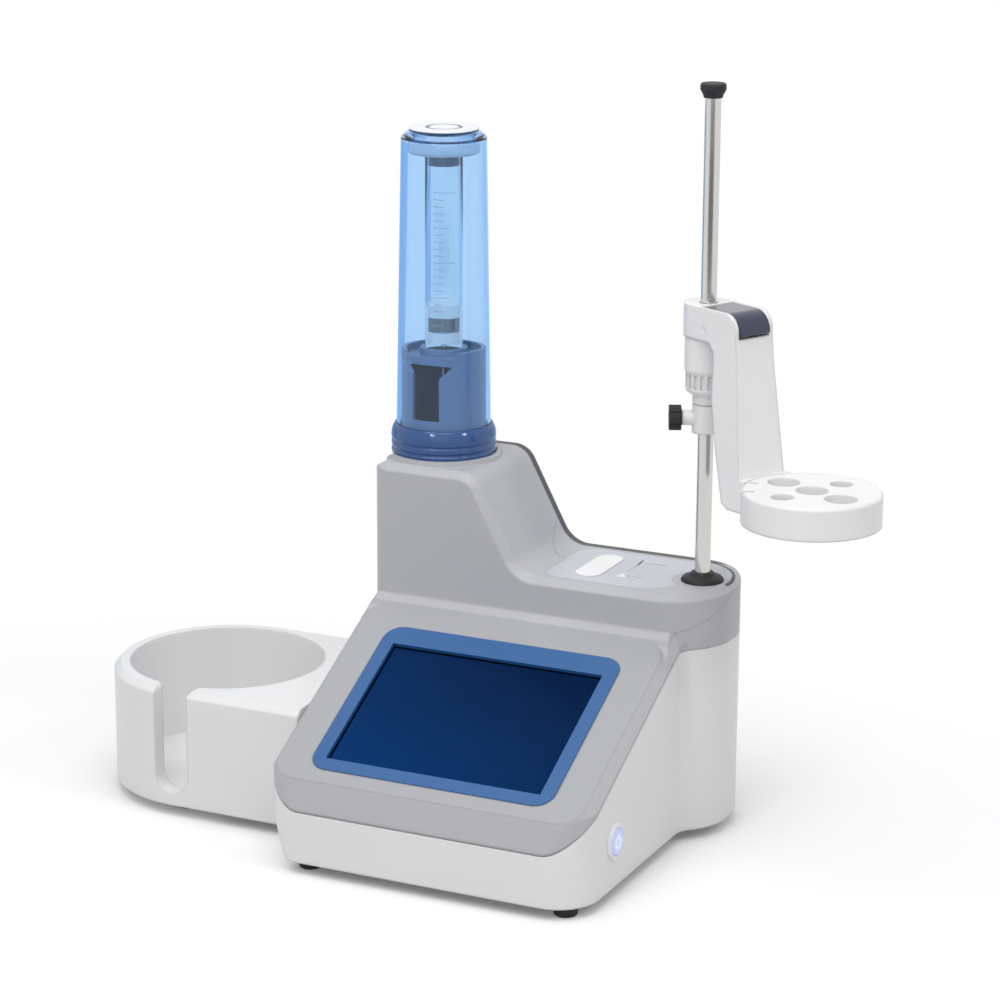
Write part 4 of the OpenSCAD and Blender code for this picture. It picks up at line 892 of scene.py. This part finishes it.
class TITRATOR_OT_burette(TitratorOperator, bpy.types.Operator):
    """Build the clear cover, its collar and cap and the glass barrel, and finish the plunger"""

    bl_idname = "titrator.burette"
    bl_label = "Burette"

    # Cover: how far its mouth lies inside its foot, and the mouth's flat rim and depth
    mouth_inset = 11 * MM
    mouth_rim = 3.4 * MM
    mouth_depth = 2 * MM
    shoulder_drop = 1.5 * MM
    # Collar, in millimetres: depth under the outer radius with the height over its foot or under its top
    collar_ribs = (
        (0.9, 0.0), (0.2, 1.0), (0.0, 3.6), (0.8, 4.4), (0.8, 5.2),
        (0.1, 6.0), (0.1, 8.4), (0.7, 9.0), (0.7, 9.7), (0.0, 10.4),
    )
    collar_top = ((0.0, 6.4), (0.3, 4.2), (0.9, 2.4), (1.7, 0.9))
    # Cap: its groove is cut in the disc and holds a dark ring, which is painted shade in the groove
    cap_seat = 2 * MM
    cap_step = 3.1 * MM
    cap_bevel = 0.6 * MM
    groove_d = 0.8 * MM
    groove_top = (8.6 * MM, 11.0 * MM)
    groove_foot = (9.4 * MM, 10.2 * MM)
    ring_sides = (8.9 * MM, 10.7 * MM)
    ring_sink = 0.12 * MM
    # Scale: room under and over it, the turn where its lines start, and half their length
    scale_room = (14 * MM, 22 * MM)
    scale_start = math.radians(-62) - math.radians(34)
    line_reach = {10: math.radians(34), 5: math.radians(24), 1: math.radians(15)}
    line_steps = 8
    line_gap = 0.01 * MM

    def build(self, colours, sizes, stage):
        self.cover(colours, sizes)
        self.collar(colours, sizes)
        self.cap(colours, sizes)
        self.barrel(sizes)
        fine = sizes.fine_edge
        dress("burette_base", moulded("slate base", colours.slate, rough=0.42, grain=0.08), fine)
        dress("barrel_head", milky("barrel head", (0.74, 0.85, 0.97), 0.25, 0.45), fine)
        dress("barrel_plug", moulded("barrel plug", shade(colours.slate, 0.7), rough=0.4), fine)
        dress("plunger_seal plunger_head", milky("plunger white", (0.86, 0.92, 0.98), 0.35, 0.15), fine)
        dress("plunger_rod", metal("plunger steel", shade(colours.steel, 0.85), 0.10))
        # The ring's steel is darkened: a painted dark reflection, where the real ring mirrors dark
        # surroundings
        dress("plunger_ring", metal("dark ring", shade(colours.steel, 0.32), 0.12))

    def cover(self, colours, sizes):
        low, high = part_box("burette_cover")
        foot_r = radius_of("burette_cover")
        wall, top_r = sizes.cover_wall, sizes.shoulder_r
        shoulder = high.z - sizes.shoulder_h
        mouth = foot_r - self.mouth_inset
        outline = soften([
            (foot_r - wall, low.z), (foot_r, low.z), (top_r, shoulder), (mouth + self.mouth_rim, high.z),
            (mouth, high.z), (mouth, high.z - self.mouth_depth),
            (top_r - wall, shoulder - self.shoulder_drop),
        ], 0.9 * MM, 5)
        blue = clear("clear cover", (0.80, 0.91, 1.0), 0.03, 1.40, colours.cover_blue, 180.0)
        shell = add_turned(
            "cover_shell", outline, "burette_cover", "cover", blue, ["burette_cover"]
        )
        shell.visible_shadow = False

    def collar(self, colours, sizes):
        low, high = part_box("cover_collar")
        r = radius_of("cover_collar")
        bore = radius_of("burette_cover")
        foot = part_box("burette_cover")[0].z
        rim = bore - sizes.cover_wall + 0.6 * MM
        outline = [(rim, low.z)]
        outline += [(r - depth * MM, low.z + rise * MM) for depth, rise in self.collar_ribs]
        outline += [(r - depth * MM, high.z - drop * MM) for depth, drop in self.collar_top]
        outline += [
            (bore + 0.5 * MM, high.z), (bore - 0.15 * MM, high.z),
            (bore + 0.1 * MM, foot), (rim, foot - 0.1 * MM),
        ]
        blue = milky("collar blue", colours.collar_blue, 0.09, 0.30)
        add_turned(
            "collar_ribs", soften(outline, 0.5 * MM, 4), "cover_collar", "cover", blue,
            ["cover_collar"],
        )

    def cap(self, colours, sizes):
        low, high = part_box("cover_cap")
        r, top = radius_of("cover_cap"), high.z
        neck = r - self.cap_step
        split = top - sizes.cap_disc
        floor = top - self.groove_d
        disc = soften([
            (0.0, low.z), (neck, low.z), (neck, split), (r, split), (r - self.cap_bevel, top),
            (self.groove_top[1], top), (self.groove_foot[1], floor),
            (self.groove_foot[0], floor), (self.groove_top[0], top), (0.0, top),
        ], 0.5 * MM, 4)
        # Dark ring in the groove: painted shade of the groove
        inner, outer = self.ring_sides
        brim = top - self.ring_sink
        ring = [(inner, floor), (outer, floor), (outer, brim), (inner, brim)]
        gap, seam = 0.05 * MM, 0.02 * MM
        seat = low.z + self.cap_seat + seam
        # A dark blue ring under the cap's rim: painted shade in the gap where the cap sits on the cover's
        # shoulder
        painted_shade_ring = soften([
            (neck + gap, seat), (r - 0.1 * MM, seat),
            (r - 0.2 * MM, split - seam), (neck + gap, split - seam),
        ], 0.2 * MM, 3)
        white = milky("cap white", (0.86, 0.88, 0.94), 0.14, 0.10)
        grey = moulded("cap groove", shade(colours.slate, 0.8), rough=0.4, grain=0.02)
        blue = milky("cap skirt", shade(colours.collar_blue, 0.5), 0.12, 0.25)
        add_turned("cap_disc", disc, "cover_cap", "cover", white, ["cover_cap"])
        add_turned("cap_groove", ring, "cover_cap", "cover", grey)
        add_turned("cap_skirt", painted_shade_ring, "cover_cap", "cover", blue)

    def barrel(self, sizes):
        low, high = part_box("glass_barrel")
        r = radius_of("glass_barrel")
        bore = r - sizes.barrel_wall
        outline = soften([(bore, low.z), (r, low.z), (r, high.z), (bore, high.z)], 0.4 * MM, 3)
        glass = clear("barrel glass", (0.93, 0.97, 1.0), 0.02, 1.47, (0.80, 0.90, 1.0), 30.0, waves=0.01)
        tube = add_turned("barrel_tube", outline, "glass_barrel", "housing", glass, ["glass_barrel"])
        tube.visible_shadow = False
        self.scale(sizes, r, low.z + self.scale_room[0], high.z - self.scale_room[1])

    def scale(self, sizes, r, start, end):
        """Plain scale lines that wrap round the barrel's front, with longer ones at fives and tens."""
        made = bmesh.new()
        centre = middle("glass_barrel")
        inner, outer = r + self.line_gap, r + sizes.mark_t
        for i in range(sizes.ticks):
            z = start + (end - start) * i / (sizes.ticks - 1)
            reach = next(self.line_reach[count] for count in (10, 5, 1) if i % count == 0)
            columns = []
            for s in range(self.line_steps + 1):
                a = self.scale_start + 2 * reach * s / self.line_steps
                section = ((inner, z), (outer, z), (outer, z + sizes.tick_w), (inner, z + sizes.tick_w))
                columns.append([
                    made.verts.new((centre.x + out * math.cos(a), centre.y + out * math.sin(a), height))
                    for out, height in section
                ])
            for a, b in zip(columns, columns[1:]):
                for k in range(4):
                    made.faces.new((a[k], b[k], b[(k + 1) % 4], a[(k + 1) % 4]))
            made.faces.new(columns[0])
            made.faces.new(columns[-1])
        ink = printed("scale ink", (0.34, 0.44, 0.60))
        add_piece("barrel_scale", finish_mesh("barrel_scale", made), "housing", ink)


class TITRATOR_OT_drive(TitratorOperator, bpy.types.Operator):
    """Finish the dosing drive inside the tower"""

    bl_idname = "titrator.drive"
    bl_label = "Dosing drive"

    def build(self, colours, sizes, stage):
        plate = metal("plate steel", shade(colours.steel, 0.9), 0.34)
        dress("drive_top_plate drive_motor_plate", plate, sizes.fine_edge)
        dress("guide_rods lead_screw ram_tube screw_coupling", metal("drive steel", colours.steel, 0.2))
        dress("ram_bush", metal("bush bronze", (0.60, 0.38, 0.14), 0.3))
        dress("drive_nut", milky("nut plastic", (0.78, 0.77, 0.70), 0.4, 0.0))
        dress("drive_motor", moulded("motor black", (0.03, 0.03, 0.032), rough=0.45), sizes.fine_edge)


class TITRATOR_OT_sockets(TitratorOperator, bpy.types.Operator):
    """Finish the sockets in the rear cover"""

    bl_idname = "titrator.sockets"
    bl_label = "Sockets"

    def build(self, colours, sizes, stage):
        dress("power_inlet", moulded("inlet black", (0.02, 0.02, 0.022), rough=0.45), sizes.fine_edge)
        dress("data_sockets electrode_sockets", metal("socket metal", colours.steel, 0.26))


class TITRATOR_OT_stage(TitratorOperator, bpy.types.Operator):
    """Set up the floor, the light and the camera"""

    bl_idname = "titrator.stage"
    bl_label = "Studio"

    def build(self, colours, sizes, stage):
        bpy.context.scene.view_settings.view_transform = "Standard"
        self.floor(stage)
        self.sky(stage)
        for name, (place, target, width, power) in LAMPS.items():
            self.lamp(name, place, target, width, getattr(stage, power))
        for name, card in CARDS.items():
            self.card(name, *card)
        self.camera(stage)

    def floor(self, stage):
        made = bmesh.new()
        bmesh.ops.create_grid(made, x_segments=1, y_segments=1, size=FLOOR_SIZE / 2)
        f = Finish("floor paper")
        x, y = f.axes()[:2]
        aside = abs(x - FLOOR_MIDDLE) * FLOOR_STRETCH
        away = (((aside ** 2.0 + abs(y) ** 2.0) ** 0.5 - FLOOR_NEAR) / (FLOOR_FAR - FLOOR_NEAR)).clamped()
        share = away * (1.0 - stage.floor_white) + stage.floor_white
        bright = f.blend(share, f.diffuse(WHITE), f.emission(WHITE))
        f.show(f.blend(f.seen(), f.diffuse(TABLE_SHADE), bright))
        add_staged("studio_floor", to_mesh("studio_floor", made), f.material)

    def sky(self, stage):
        world = bpy.data.worlds.new("studio sky")
        bpy.context.scene.world = world
        f = NodeWork(world, "ShaderNodeOutputWorld")
        strength = f.seen() * (1.0 - stage.sky) + stage.sky
        f.show(f.node("ShaderNodeBackground", None, {"Color": WHITE, "Strength": strength}))

    def lamp(self, name, place, target, width, power):
        data = bpy.data.lights.new(name, "AREA")
        data.shape = "RECTANGLE"
        data.size = width
        data.size_y = width
        data.energy = power
        lamp = linked(name, data)
        lamp.location = place
        lamp.rotation_mode = "QUATERNION"
        lamp.rotation_quaternion = (Vector(target) - Vector(place)).to_track_quat("-Z", "Y")

    def card(self, name, place, size, stand, colour):
        """A card that only reflections and clear pieces show, which gives them their lines."""
        made = bmesh.new()
        turn = Matrix.Rotation(math.atan2(-place[0], place[1]), 4, "Z") @ Matrix.Rotation(stand, 4, "X")
        shape = turn @ Matrix.Diagonal((*size, 1.0, 1.0))
        bmesh.ops.create_grid(made, x_segments=1, y_segments=1, size=0.5, matrix=shape)
        f = Finish(name.replace("_", " "))
        f.show(f.emission(colour))
        card = add_staged(name, to_mesh(name, made), f.material)
        card.location = place
        card.visible_camera = False
        card.visible_diffuse = False
        card.visible_shadow = False

    def camera(self, stage):
        a, e, r = stage.azimuth, stage.elevation, stage.roll
        back = Vector((math.sin(a) * math.cos(e), -math.cos(a) * math.cos(e), math.sin(e)))
        right = Vector((math.cos(a), math.sin(a), 0.0))
        up = back.cross(right)
        side = right * math.cos(r) + up * math.sin(r)
        top = up * math.cos(r) - right * math.sin(r)
        data = bpy.data.cameras.new("photo_camera")
        data.lens = stage.lens
        data.sensor_width = SENSOR_WIDTH
        data.clip_end = VIEW_DEPTH
        camera = linked("photo_camera", data)
        camera.matrix_world = Matrix.Translation(stage.eye) @ Matrix((side, top, back)).transposed().to_4x4()
        bpy.context.scene.camera = camera


class TITRATOR_PT_panel(bpy.types.Panel):
    """Lists the steps and the values they use"""

    bl_idname = "TITRATOR_PT_panel"
    bl_label = "Titrator"
    bl_space_type = "VIEW_3D"
    bl_region_type = "UI"
    bl_category = "Titrator"

    def draw(self, context):
        for step in STEPS:
            self.layout.operator(step.bl_idname)
        for group in settings():
            box = self.layout.box()
            for name in group.bl_rna.properties.keys():
                if name not in ("rna_type", "name"):
                    box.prop(group, name)


STEPS = (
    TITRATOR_OT_housing,
    TITRATOR_OT_display,
    TITRATOR_OT_deck,
    TITRATOR_OT_holder,
    TITRATOR_OT_button,
    TITRATOR_OT_rod,
    TITRATOR_OT_arm,
    TITRATOR_OT_burette,
    TITRATOR_OT_drive,
    TITRATOR_OT_sockets,
    TITRATOR_OT_stage,
)
GROUPS = {
    "titrator_colours": TitratorColours,
    "titrator_sizes": TitratorSizes,
    "titrator_stage": TitratorStage,
}


def register():
    for kind in (*GROUPS.values(), *STEPS, TITRATOR_PT_panel):
        bpy.utils.register_class(kind)
    for name, kind in GROUPS.items():
        setattr(bpy.types.Scene, name, PointerProperty(type=kind))


def unregister():
    for name in GROUPS:
        delattr(bpy.types.Scene, name)
    for kind in (TITRATOR_PT_panel, *reversed(STEPS), *reversed(GROUPS.values())):
        bpy.utils.unregister_class(kind)


def main():
    register()
    for step in STEPS:
        group, name = step.bl_idname.split(".")
        getattr(getattr(bpy.ops, group), name)()


if __name__ == "__main__":
    main()
